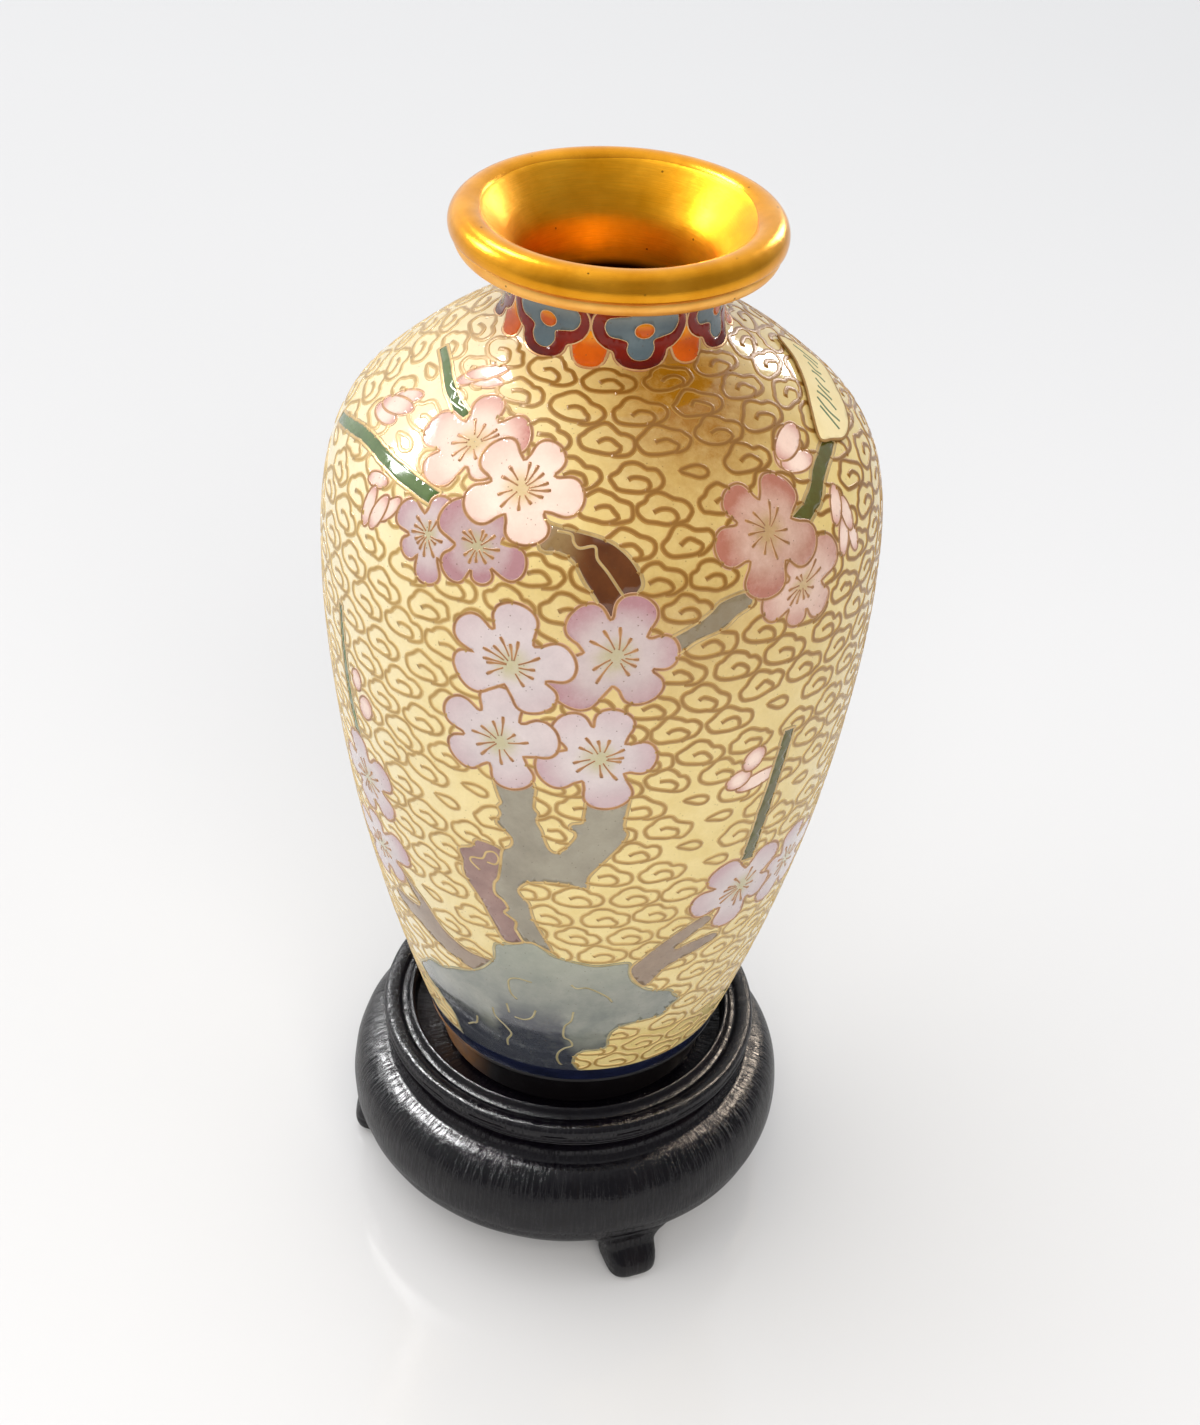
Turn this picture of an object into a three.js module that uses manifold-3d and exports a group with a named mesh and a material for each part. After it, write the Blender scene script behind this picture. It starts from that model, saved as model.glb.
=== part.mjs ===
// Cloisonne vase on a turned and lacquered wooden stand, as separate solids.
// Millimetres, +Z up. The origin is on the floor, on the vase's axis; -Y is the decorated front.
// A place on the vase's face is [turn, climb]: degrees from the front towards +X, and
// millimetres up along the face from the edge of the foot.
import * as THREE from 'three';
import { mergeVertices } from 'three/addons/utils/BufferGeometryUtils.js';
import Module from 'manifold-3d';

const wasm = await Module();
wasm.setup();

// ---------- driving dimensions ----------
const FACETS = 32;                 // facets round the vase and the stand
const NECK_FACETS = 24;            // and round the narrow neck
const GLAZE_FACETS = 16;           // and on the glaze inside the body
const GAP = 0.3;                   // clear space between touching pieces
const WIRE_GAP = 0.36;             // width that a cloison wire takes between two enamels
const ENAMEL = 1.0;                // enamel thickness
const COPPER = 1.0;                // sheet thickness
const COUNTER_ENAMEL = 0.6;        // thin glaze on the inside
const FOOT_EDGE_Z = 41.0;          // lower edge of the decorated face
const BELLY_CLIMB = 92;            // where the two halves of the copper body meet
const FOOT_BAND_CLIMB = 3.6;       // height of the navy band above the foot
const GROUND_TOP_CLIMB = 147.0;    // where the cloud ground meets the neck band
// radius and height of the enamel face, from the foot to the corner below the neck
const BODY_PROFILE = [
  [27.0, FOOT_EDGE_Z], [30.4, 52.0], [34.8, 68.0], [39.3, 88.3], [42.3, 108.5], [43.9, 128.7],
  [43.3, 146.4], [40.0, 156.9], [33.0, 164.2], [25.0, 170.3], [16.9, 174.3],
];
const THROAT_RADIUS = 13.7;        // bore of the neck tube
const NECK_BOTTOM_Z = 174.0;
const BEAD_RADIUS = 21.8;          // centre line of the rolled rim
const BEAD_HEIGHT = 188.3;
const BEAD_THICKNESS = 2.85;       // radius of its round section
const LIP_BAND = { inner: 18.1, topInner: 19.1, outer: 23.8, bottom: 185.0, top: 187.1 };
const RECESS_Z = 32.0;             // floor of the stand's recess
const RECESS_RADIUS = 28.5;
const STAND_OFFSET = [-0.64, 0.18];  // the vase sits a little off centre in its loose recess
const FOOT_TURNS = { front: 22.5, left: -88, back: 147 };

// ---------- colours ----------
const paint = (color, roughness, metalness = 0) => (
  new THREE.MeshStandardMaterial({ color, roughness, metalness })
);
const GILT = () => paint(0xd99b20, 0.3, 1);
const RAW_COPPER = () => paint(0xb06a3a, 0.45, 1);
const CREAM = () => paint(0xe8d48f, 0.2);
const NAVY = () => paint(0x1b2033, 0.2);
const PETAL = () => paint(0xe3cfd8, 0.2);
const PETAL_PINK = () => paint(0xf4cfcf, 0.2);
const TRUNK = () => paint(0x8a8b7d, 0.2);
const BARK = () => paint(0x6b4420, 0.2);
const ROOT = () => paint(0x8a7068, 0.2);
const ROCK = () => paint(0x6f7b78, 0.2);
const TWIG = () => paint(0x5f7438, 0.2);
const NECK_RED = () => paint(0x8e2a12, 0.2);
const COUNTER_BLUE = () => paint(0x27486b, 0.35);
const PAPER = () => paint(0xefe6c4, 0.8);
const LACQUER = () => paint(0x16110f, 0.25);

// ---------- scene graph ----------
const vase = new THREE.Group();
const stand = new THREE.Group();
stand.position.set(STAND_OFFSET[0], STAND_OFFSET[1], 0);

function place(group, name, geometry, material) {
  const mesh = new THREE.Mesh(geometry, material);
  mesh.name = name;
  group.add(mesh);
  return mesh;
}

// ---------- closed meshes and solids ----------
// keeps positions only, with shared corners merged and the faces turned outward
function weld(geometry) {
  const bare = geometry.clone();
  bare.deleteAttribute('normal');
  bare.deleteAttribute('uv');
  const welded = mergeVertices(bare, 1e-4);
  const position = welded.attributes.position;
  const corners = welded.index.array;
  const kept = [];
  const a = new THREE.Vector3();
  const b = new THREE.Vector3();
  const c = new THREE.Vector3();
  let volume = 0;
  for (let i = 0; i < corners.length; i += 3) {
    const [i0, i1, i2] = [corners[i], corners[i + 1], corners[i + 2]];
    if (i0 === i1 || i1 === i2 || i2 === i0) continue;
    a.fromBufferAttribute(position, i0);
    b.fromBufferAttribute(position, i1);
    c.fromBufferAttribute(position, i2);
    volume += a.dot(b.cross(c)) / 6;
    kept.push(i0, i1, i2);
  }
  if (volume < 0) kept.reverse();
  welded.setIndex(kept);
  return welded;
}

function solidOf(geometry) {
  const welded = weld(geometry);
  return new wasm.Manifold(new wasm.Mesh({
    numProp: 3,
    vertProperties: new Float32Array(welded.attributes.position.array),
    triVerts: new Uint32Array(welded.index.array),
  }));
}

function geometryOf(solid) {
  const mesh = solid.getMesh();
  const geometry = new THREE.BufferGeometry();
  const points = new Float32Array(mesh.numVert * 3);
  for (let i = 0; i < mesh.numVert; i += 1) {
    for (let k = 0; k < 3; k += 1) points[3 * i + k] = mesh.vertProperties[i * mesh.numProp + k];
  }
  geometry.setAttribute('position', new THREE.BufferAttribute(points, 3));
  geometry.setIndex(Array.from(mesh.triVerts));
  return geometry;
}

// a ring or disc turned about the Z axis, from a profile of [radius, height] points
function turned(profile, facets = FACETS) {
  const points = profile.map(([radius, height]) => new THREE.Vector2(radius, height));
  const onAxis = profile[0][0] === 0 && profile[profile.length - 1][0] === 0;
  if (!onAxis) points.push(points[0].clone());
  return weld(new THREE.LatheGeometry(points, facets).rotateX(Math.PI / 2));
}

// ---------- the vase's face ----------
const FACE = new THREE.SplineCurve(BODY_PROFILE.map(([r, z]) => new THREE.Vector2(r, z)));
const FACE_LENGTH = FACE.getLength();

function facePoint(climb, depth) {
  const u = THREE.MathUtils.clamp(climb / FACE_LENGTH, 0, 1);
  const p = FACE.getPointAt(u);
  const t = FACE.getTangentAt(u);
  return [p.x - depth * t.y, p.y + depth * t.x];
}

// climbs of the facet rows: one at each profile point, and one more between those of the shoulder
const SPANS = BODY_PROFILE.length - 1;
const climbAt = (span) => FACE.getLengths(SPANS * 200)[Math.round(span * 200)];
const KNOT_ROWS = Array.from({ length: SPANS + 1 }, (_, i) => climbAt(i));
const SHOULDER_SPANS = [6.5, 7.5, 8.5];
const FACE_ROWS = [...KNOT_ROWS, ...SHOULDER_SPANS.map(climbAt)].sort((p, q) => p - q);

// a layer that follows the face between two climbs, from one depth to a deeper one
function layer([from, to], depth, thickness, { rows = FACE_ROWS, facets = FACETS, top = [] } = {}) {
  const climbs = [from, ...rows.filter((row) => row > from + 1.5 && row < to - 1.5), to];
  const outside = climbs.map((climb) => facePoint(climb, depth));
  const inside = climbs.map((climb) => facePoint(climb, depth + thickness)).reverse();
  return turned([...outside, ...top, ...inside], facets);
}

// ---------- outlines drawn on the face ----------
const degrees = (mm, climb) => THREE.MathUtils.radToDeg(mm / facePoint(climb, 0)[0]);

// a blossom: round petals about its centre, each [direction in degrees, reach in mm]
function blossom([turn, climb], petals, half = 21, notch = 0.56) {
  const outline = [];
  const order = [...petals].sort((p, q) => p[0] - q[0]);
  order.forEach(([direction, reach], i) => {
    const [nextDirection, nextReach] = order[(i + 1) % order.length];
    const step = (nextDirection - direction + 360) % 360;
    outline.push([direction - half, reach * 0.97], [direction + half, reach * 0.97]);
    outline.push([direction + step / 2, (notch * (reach + nextReach)) / 2]);
  });
  return outline.map(([angle, reach]) => {
    const a = THREE.MathUtils.degToRad(angle);
    return [turn + degrees(reach * Math.cos(a), climb), climb + reach * Math.sin(a)];
  });
}

// a bud or a single petal: an oval with its long axis at an angle
function oval([turn, climb], long, short, angle, points = 8) {
  const tilt = THREE.MathUtils.degToRad(angle);
  return Array.from({ length: points }, (_, i) => {
    const a = (2 * Math.PI * i) / points;
    const x = (long / 2) * Math.cos(a);
    const y = (short / 2) * Math.sin(a);
    const across = x * Math.cos(tilt) - y * Math.sin(tilt);
    const up = x * Math.sin(tilt) + y * Math.cos(tilt);
    return [turn + degrees(across, climb), climb + up];
  });
}

// a strip of tapering width along a centre line
function strip(line, width, tipWidth) {
  const left = [];
  const right = [];
  line.forEach(([turn, climb], i) => {
    const before = line[Math.max(i - 1, 0)];
    const after = line[Math.min(i + 1, line.length - 1)];
    const scale = THREE.MathUtils.degToRad(1) * facePoint(climb, 0)[0];
    const run = new THREE.Vector2((after[0] - before[0]) * scale, after[1] - before[1]).normalize();
    const half = THREE.MathUtils.lerp(width, tipWidth, i / (line.length - 1)) / 2;
    left.push([turn - degrees(run.y * half, climb), climb + run.x * half]);
    right.push([turn + degrees(run.y * half, climb), climb - run.x * half]);
  });
  return [...left, ...right.reverse()];
}

// moves an outline's edge outward by a distance in millimetres
function grown(outline, distance) {
  const scale = outline.map(([, climb]) => THREE.MathUtils.degToRad(1) * facePoint(climb, 0)[0]);
  const flat = outline.map(([turn, climb], i) => new THREE.Vector2(turn * scale[i], climb));
  const wayRound = THREE.ShapeUtils.area(flat) > 0 ? 1 : -1;
  return outline.map(([turn, climb], i) => {
    const n = outline.length;
    const [before, after] = [outline[(i + n - 1) % n], outline[(i + 1) % n]];
    const into = new THREE.Vector2((turn - before[0]) * scale[i], climb - before[1]).normalize();
    const out = new THREE.Vector2((after[0] - turn) * scale[i], after[1] - climb).normalize();
    const side = into.add(out);
    if (side.length() < 0.2) return [turn, climb];
    side.normalize();
    return [turn + degrees(wayRound * distance * side.y, climb), climb - wayRound * distance * side.x];
  });
}

// a prism that passes straight through the face along an outline
function prism(outline, inward, outward) {
  const scale = THREE.MathUtils.degToRad(1) * facePoint(outline[0][1], 0)[0];
  const flat = outline.map(([turn, climb]) => new THREE.Vector2(turn * scale, climb));
  if (THREE.ShapeUtils.area(flat) < 0) {
    flat.reverse();
    outline = [...outline].reverse();
  }
  const n = outline.length;
  const positions = [];
  for (const depth of [-outward, inward]) {
    for (const [turn, climb] of outline) {
      const [radius, height] = facePoint(climb, depth);
      const a = THREE.MathUtils.degToRad(turn);
      positions.push(radius * Math.sin(a), -radius * Math.cos(a), height);
    }
  }
  const index = [];
  for (const [a, b, c] of THREE.ShapeUtils.triangulateShape(flat, [])) {
    index.push(a, b, c, n + a, n + c, n + b);
  }
  for (let i = 0; i < n; i += 1) {
    const j = (i + 1) % n;
    index.push(i, n + i, n + j, i, n + j, j);
  }
  const geometry = new THREE.BufferGeometry();
  geometry.setAttribute('position', new THREE.Float32BufferAttribute(positions, 3));
  geometry.setIndex(index);
  return solidOf(geometry);
}

const largestFirst = (solid) => solid.decompose().sort((p, q) => q.volume() - p.volume());

// ---------- the decoration, front pieces first ----------
// Where two pieces cross, the one listed first lies in front and is whole.
const BLOSSOMS = {
  upper_front: [[-19, 126.5], [[0, 9.0], [62, 8.2], [146, 8.8], [217, 8.4], [293, 8.2]]],
  upper_mauve: [[-24.5, 117], [[346, 7.6], [62, 6.5], [148, 8.0], [236, 6.8], [290, 5.4]]],
  upper_back: [[-36, 130.5], [[30, 9.0], [102, 8.0], [188, 9.0], [243, 8.4], [319, 6.0]]],
  upper_side: [[-36, 116], [[80, 6.0], [166, 6.8], [230, 5.5], [282, 7.2], [340, 5.5]]],
  centre_left: [[-15, 100.5], [[12, 9.4], [92, 10.0], [150, 10.2], [196, 9.4], [312, 8.6]]],
  centre_lower: [[-17, 86.5], [[20, 9.2], [90, 10.0], [153, 9.8], [212, 9.4], [286, 9.0]]],
  centre_base: [[2.5, 86], [[0, 8.4], [78, 9.2], [128, 9.4], [204, 10.0], [282, 10.2]]],
  centre_right: [[4.5, 104], [[2, 8.8], [72, 9.8], [130, 9.4], [222, 11.5], [308, 9.2]]],
  right_front: [[36.5, 119.5], [[48, 9.2], [125, 8.6], [187, 9.0], [256, 9.8], [325, 9.2]]],
  right_back: [[43, 110], [[27, 8.8], [110, 5.0], [197, 7.8], [255, 6.4], [308, 7.4]]],
  low_right: [[40.5, 51.5], [[48, 9.0], [136, 9.4], [186, 9.8], [262, 9.6], [330, 7.6]]],
  low_far_right: [[57.5, 50], [[20, 8.6], [92, 8.6], [164, 6.4], [236, 8.6], [308, 8.6]]],
  low_left: [[-56, 48.5], [[28, 9.2], [100, 7.0], [172, 8.6], [244, 8.2], [316, 7.2]]],
  low_far_left: [[-56, 63.5], [[36, 8.4], [108, 8.6], [180, 8.4], [252, 7.4], [324, 8.0]]],
  back_high: [[164, 112], [[18, 9.0], [90, 9.2], [162, 9.0], [234, 9.0], [306, 9.0]]],
  back_low: [[182, 101], [[54, 8.8], [126, 9.0], [198, 8.8], [270, 9.0], [342, 9.0]]],
};

const ROCK_FOOT = FOOT_BAND_CLIMB + 0.2;
const ROCK_OUTLINE = [
  [-20.3, 40.4], [-12.5, 42.6], [-7, 41.4], [4, 38.3], [13.2, 38.5], [14.6, 34.8], [19, 30.2],
  [28, 27.3], [32, 23.7], [28.5, 19.8], [18, 19.0], [12, 16.4], [11.8, 12], [4, 10.6], [1.4, 7],
  [3.6, ROCK_FOOT],
  [-12, ROCK_FOOT], [-27, ROCK_FOOT], [-42, ROCK_FOOT], [-43, 9.5], [-53, 16], [-46, 23.6], [-36, 26.8],
  [-26, 30.4], [-22, 34.4],
];
const TRUNK_OUTLINE = [
  [-18.2, 80], [-17, 72.5], [-18, 69.4], [-15, 67.4], [-16.6, 64.4], [-17.6, 61], [-19.3, 54.5],
  [-16.4, 50.2], [-13.4, 43.6], [-10.3, 43.2], [-5.6, 41.6], [-10.4, 50], [-13.3, 56], [-8, 58.8],
  [1.7, 58.2], [4.6, 64.2], [9.2, 70.6], [8.6, 80], [0.3, 80], [-0.2, 73], [-1.6, 70], [-5, 65.8],
  [-8, 69], [-9.6, 74], [-10.4, 80],
];
const ROOT_OUTLINE = [
  [-16.6, 64.4], [-22.5, 65], [-27.3, 61.5], [-26.5, 55.5], [-23, 51], [-20, 45.5], [-17.3, 41.6],
  [-13.4, 43.6], [-16.4, 50.2], [-19.3, 54.5], [-17.6, 61],
];
const BRANCHES = {
  trunk: [TRUNK_OUTLINE, TRUNK],
  trunk_root: [ROOT_OUTLINE, ROOT],
  rock: [ROCK_OUTLINE, ROCK],
  upper_branch: [
    [
      [-14, 123.8], [-6, 122], [2, 120.7], [6.8, 118], [8.6, 114], [1.5, 109], [-3.5, 115.8],
      [-12, 118],
    ], BARK],
  side_branch: [
    [[13, 106.5], [22, 110.2], [24.5, 111.6], [31, 112.2], [32, 109.6], [24, 106.6], [14, 103.6]], TRUNK],
  left_branch: [
    [[-21.5, 34.6], [-29, 34.8], [-36, 38], [-41, 43], [-48, 46.4], [-46, 43], [-43, 40.2], [-54, 39.4],
      [-54, 37], [-40, 32.3], [-27, 29.6]], ROOT],
  right_branch: [
    [[14.2, 36.6], [20, 42], [31, 47], [34, 45], [25.4, 40.2], [36, 41], [38, 39.2], [30, 37],
      [24.6, 35.4], [19.4, 30.4]], ROOT],
  back_branch: [strip([[198, 62], [190, 74], [188, 88], [180, 98], [170, 106]], 5.0, 3.0), BARK],
};
const TWIGS = {
  left_twig_low: [[-37, 121], [-52, 121.8], [-68, 121.6], [-86, 117.4]],
  left_twig_high: [[-43, 133.2], [-54, 135.3], [-67, 137.6], [-77, 138.2]],
  right_twig_high: [[43, 118.6], [51, 120.8], [58, 124], [69, 126.2]],
  right_twig_low: [[39.6, 58], [41, 68], [43.5, 84.6]],
  left_twig_side: [[-57, 70], [-59.6, 80], [-61, 95.4]],
};
const BUDS = {
  left_bud_low: [[-50.5, 116.3], 6.6, 5.2, 20],
  left_bud_side: [[-67.5, 127], 7.4, 5.0, 20],
  left_bud_high: [[-51, 140.4], 6.6, 4.6, 30],
  left_bud_middle: [[-52.4, 81], 7.2, 5.2, 20],
  right_bud_low: [[57.5, 117.5], 6.4, 6.0, 0],
  right_bud_high: [[54.5, 129.2], 8.0, 5.2, 0],
  right_bud_middle: [[34, 79.2], 6.6, 6.4, 10],
};

// each piece is cut from one enamel shell, and its wire's width is left between it and the rest
let ground = solidOf(layer([FOOT_BAND_CLIMB + WIRE_GAP, GROUND_TOP_CLIMB], 0, ENAMEL));

function inlay(name, outline, material, inward = 4, outward = 4) {
  const pieces = largestFirst(ground.intersect(prism(grown(outline, -WIRE_GAP / 2), inward, outward)));
  place(vase, name, geometryOf(pieces[0]), material());
  ground = ground.subtract(prism(grown(outline, WIRE_GAP / 2), inward, outward));
}

const PINK = ['upper_front', 'upper_back', 'right_front', 'right_back'];
for (const [name, [centre, petals]] of Object.entries(BLOSSOMS)) {
  inlay(`blossom_${name}`, blossom(centre, petals), PINK.includes(name) ? PETAL_PINK : PETAL);
}
for (const [name, [outline, material]] of Object.entries(BRANCHES)) inlay(name, outline, material, 9, 30);
for (const [name, line] of Object.entries(TWIGS)) inlay(name, strip(line, 2.1, 1.5), TWIG);
for (const [name, [centre, long, short, angle]] of Object.entries(BUDS)) {
  inlay(name, oval(centre, long, short, angle), PETAL_PINK);
}

// what is left is the cloud ground, with the panels that the design closes off
const SMALLEST_PANEL = 6;  // cubic millimetres; less than this is a bead of enamel between wires
largestFirst(ground).filter((solid) => solid.volume() > SMALLEST_PANEL).forEach((solid, i) => {
  place(vase, i === 0 ? 'cloud_ground' : `cloud_panel_${i}`, geometryOf(solid), CREAM());
});
place(vase, 'foot_band_enamel', layer([0, FOOT_BAND_CLIMB], 0, ENAMEL), NAVY());

// ---------- the metal body under the enamel ----------
const SHEET_DEPTH = ENAMEL + GAP;
const GLAZE_DEPTH = SHEET_DEPTH + COPPER + GAP;
const NECK_SEAT_Z = NECK_BOTTOM_Z - GAP;
const sheet = { rows: KNOT_ROWS };
const neckSeat = [[THROAT_RADIUS + 0.2, NECK_SEAT_Z], [THROAT_RADIUS + 0.2, NECK_SEAT_Z - COPPER]];
const glaze = { rows: KNOT_ROWS, facets: GLAZE_FACETS };
const glazeSpan = [4, FACE_LENGTH - 3];
place(vase, 'copper_body_lower', layer([0, BELLY_CLIMB], SHEET_DEPTH, COPPER, sheet), RAW_COPPER());
place(vase, 'copper_body_upper', layer([BELLY_CLIMB + GAP, FACE_LENGTH], SHEET_DEPTH, COPPER, {
  ...sheet, top: neckSeat,
}), RAW_COPPER());
place(vase, 'counter_enamel_inside', layer(glazeSpan, GLAZE_DEPTH, COUNTER_ENAMEL, glaze), COUNTER_BLUE());

// the neck tube: a bore that opens upward and flares out into the rolled rim
const FLARE = [[0, 6.2], [0.7, 9.6], [2.4, 12.2], [4.6, 14.2]];  // [outward, above the neck's foot]
const BORE_DRAFT = 0.9;            // how much the bore closes in towards its foot
const throat = [[-BORE_DRAFT, 0], ...FLARE].map(([out, up]) => [THROAT_RADIUS + out, NECK_BOTTOM_Z + up]);
// the outside keeps the sheet's thickness as the flare leans over
const tubeOuter = FLARE.map(([out, up]) => (
  [THROAT_RADIUS + COPPER + 0.86 * out, NECK_BOTTOM_Z + up - 0.24 * out]
));
place(vase, 'neck_tube', turned([
  [THROAT_RADIUS + COPPER, NECK_BOTTOM_Z], ...tubeOuter, ...throat.reverse(),
], NECK_FACETS), GILT());

// the neck's red enamel band stands between the shoulder and the lip band
const NECK_FACE = [[17.0, 174.9], [16.1, 177.4], [16.1, 181.4], [17.4, 184.2]];
const NECK_BACKING = THROAT_RADIUS + COPPER + GAP;
place(vase, 'neck_band_enamel', turned([
  ...NECK_FACE, ...NECK_FACE.map(([r, z]) => [Math.max(r - ENAMEL, NECK_BACKING), z]).reverse(),
], NECK_FACETS), NECK_RED());

place(vase, 'mouth_lip_band', turned([
  [LIP_BAND.inner, LIP_BAND.bottom + 0.4], [LIP_BAND.outer - 0.7, LIP_BAND.bottom],
  [LIP_BAND.outer, LIP_BAND.bottom + 0.8], [LIP_BAND.outer, LIP_BAND.top - 0.5],
  [LIP_BAND.outer - 0.4, LIP_BAND.top], [LIP_BAND.topInner, LIP_BAND.top],
  [LIP_BAND.inner, LIP_BAND.bottom + 1.2],
]), GILT());

// the rolled rim: a round bead, flat underneath where it is soldered on the lip band
const bead = [];
const BEAD_SIDES = 10;
for (let i = 0; i < BEAD_SIDES; i += 1) {
  const a = (2 * Math.PI * (i + 0.5)) / BEAD_SIDES;
  const height = BEAD_HEIGHT + BEAD_THICKNESS * Math.sin(a);
  const solderedTo = LIP_BAND.top + GAP + 0.1 * Math.cos(a);
  bead.push([BEAD_RADIUS + BEAD_THICKNESS * Math.cos(a), Math.max(height, solderedTo)]);
}
place(vase, 'mouth_rim_bead', turned(bead), GILT());

// ---------- the vase's foot ----------
const SOLE_Z = RECESS_Z + GAP;
const FOOT_RING = { inner: 22.4, outer: 24.4, top: 40.9 };
const PLATE = { radius: 24.2, bottom: 41.3, top: 42.3 };
place(vase, 'foot_ring', turned([
  [FOOT_RING.inner, SOLE_Z], [FOOT_RING.outer, SOLE_Z], [FOOT_RING.outer, FOOT_RING.top],
  [FOOT_RING.inner, FOOT_RING.top],
]), GILT());
place(vase, 'base_plate', turned([
  [0, PLATE.bottom], [PLATE.radius, PLATE.bottom], [PLATE.radius, PLATE.top], [0, PLATE.top],
]), RAW_COPPER());
place(vase, 'counter_enamel_base', turned([
  [0, PLATE.bottom - GAP - COUNTER_ENAMEL], [FOOT_RING.inner - GAP, PLATE.bottom - GAP - COUNTER_ENAMEL],
  [FOOT_RING.inner - GAP, PLATE.bottom - GAP], [0, PLATE.bottom - GAP],
]), COUNTER_BLUE());
const EDGE_RING_INNER = FOOT_RING.outer + GAP;
place(vase, 'foot_edge_ring', turned([
  [EDGE_RING_INNER, FOOT_EDGE_Z - 1.3], [26.9, FOOT_EDGE_Z - 1.3], [27.1, FOOT_EDGE_Z - GAP],
  [EDGE_RING_INNER, FOOT_EDGE_Z - GAP],
]), GILT());

// ---------- paper label: a rounded strip stuck over the enamel on the right shoulder ----------
const LABEL_LINE = [[68, 127.2], [72, 127.6], [80, 129.2], [90, 131.8], [100, 134.4]];
const LABEL_WIDTHS = [3.4, 7.0, 8.8, 8.8, 8.4];
const LABEL_LIFT = 0.35;
const LABEL_THICKNESS = 0.25;
const labelSides = [1, -1].map((side) => LABEL_LINE.map(([turn, climb], i) => (
  [turn - side * 2.2, climb + (side * LABEL_WIDTHS[i]) / 2]
)));
const labelOutline = [...labelSides[0], ...labelSides[1].reverse()];
const labelShell = solidOf(layer([118, 142], -LABEL_LIFT - LABEL_THICKNESS, LABEL_THICKNESS));
place(vase, 'paper_label', geometryOf(labelShell.intersect(prism(labelOutline, 4, 4))), PAPER());

// ---------- the stand: one turned piece with three feet let into its underside ----------
const UNDERSIDE_Z = 8.2;
const STAND_PROFILE = [
  [0, RECESS_Z], [RECESS_RADIUS, RECESS_Z],
  [RECESS_RADIUS + 0.2, RECESS_Z + 3.4], [RECESS_RADIUS + 0.9, RECESS_Z + 4.0],    // inner ridge
  [31.1, RECESS_Z + 2.7], [32.4, RECESS_Z + 3.5], [33.6, RECESS_Z + 3.6],          // groove and crest
  [34.5, RECESS_Z + 2.6], [34.4, RECESS_Z + 0.8], [33.6, RECESS_Z - 0.6],          // lip
  [33.0, 29.2], [34.2, 27.2],                                                      // cove
  [37.8, 25.2], [39.8, 21.8], [40.3, 17.6], [39.3, 12.6], [36.6, 9.6], [33.4, UNDERSIDE_Z],  // bulge
  [24, UNDERSIDE_Z], [22, UNDERSIDE_Z + 4], [0, UNDERSIDE_Z + 4],                  // hollowed underside
];
let standBody = solidOf(turned(STAND_PROFILE));

// a foot: curled toe seen from the side, and a block that widens upward seen from the front
const FOOT_SIDE = [
  [29.5, 0.8], [30.5, 0], [38.2, 0], [39.9, 0.9], [40.3, 2.6], [39.9, 4.4], [38.0, 6.2], [37.4, 8.2],
  [37.6, 10.4], [30, 11.4], [29.0, 7.5],
];
const FOOT_HALF_FRONT = [[3.4, 0], [4.5, 1.2], [4.7, 5.0], [5.9, 7.6], [8.2, 9.2], [8.2, 12]];
const FOOT_FRONT = [...FOOT_HALF_FRONT, ...FOOT_HALF_FRONT.map(([across, up]) => [-across, up]).reverse()];
const PEG = { radius: 2.4, at: 33.0, bottom: 6, top: 15.6 };

function extruded(points, from, to) {
  const shape = new THREE.Shape(points.map(([x, y]) => new THREE.Vector2(x, y)));
  const geometry = new THREE.ExtrudeGeometry(shape, { depth: to - from, bevelEnabled: false });
  return geometry.translate(0, 0, from);
}

// both outlines are drawn with up as Y; the foot's own frame has -Y outward and +Z up
function footSolid() {
  const side = solidOf(extruded(FOOT_SIDE, -12, 12).rotateX(Math.PI / 2).rotateZ(-Math.PI / 2));
  const front = solidOf(extruded(FOOT_FRONT, 20, 50).rotateX(Math.PI / 2));
  return side.intersect(front);
}

function peg(radius, top) {
  const post = new THREE.CylinderGeometry(radius, radius, top - PEG.bottom, 12);
  return solidOf(post.rotateX(Math.PI / 2).translate(0, -PEG.at, (top + PEG.bottom) / 2));
}

// the stand's outside, a gap wider and lower all over below the lip: the feet are cut back from it
const footClearance = solidOf(turned(STAND_PROFILE.map(([radius, height]) => {
  const outside = radius > RECESS_RADIUS && height < RECESS_Z;
  const below = height < RECESS_Z / 2;
  return [outside ? radius + GAP : radius, below ? height - GAP : height];
})));
for (const [name, turn] of Object.entries(FOOT_TURNS)) {
  const spin = [0, 0, turn];
  const toe = footSolid().rotate(spin).subtract(footClearance);
  const foot = toe.add(peg(PEG.radius, PEG.top).rotate(spin));
  standBody = standBody.subtract(peg(PEG.radius + GAP, PEG.top + GAP).rotate(spin));
  place(stand, `stand_foot_${name}`, geometryOf(largestFirst(foot)[0]), LACQUER());
}
place(stand, 'stand_body', geometryOf(standBody), LACQUER());

const group = new THREE.Group();
group.add(vase, stand);

export default group;
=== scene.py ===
"""Cloisonne vase on a turned and lacquered wooden stand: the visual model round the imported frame.

Shapes are worked out in millimetres and turned into metres when a mesh is made.  A place on the
vase's face is (turn, climb): degrees from the front (-Y) towards +X, and millimetres up along the
face from the edge of the foot.  Everything that is drawn on the enamel is placed that way.
"""
import math
import random

import bpy
import numpy as np
from mathutils import Matrix, Vector
from mathutils.geometry import delaunay_2d_cdt


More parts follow.
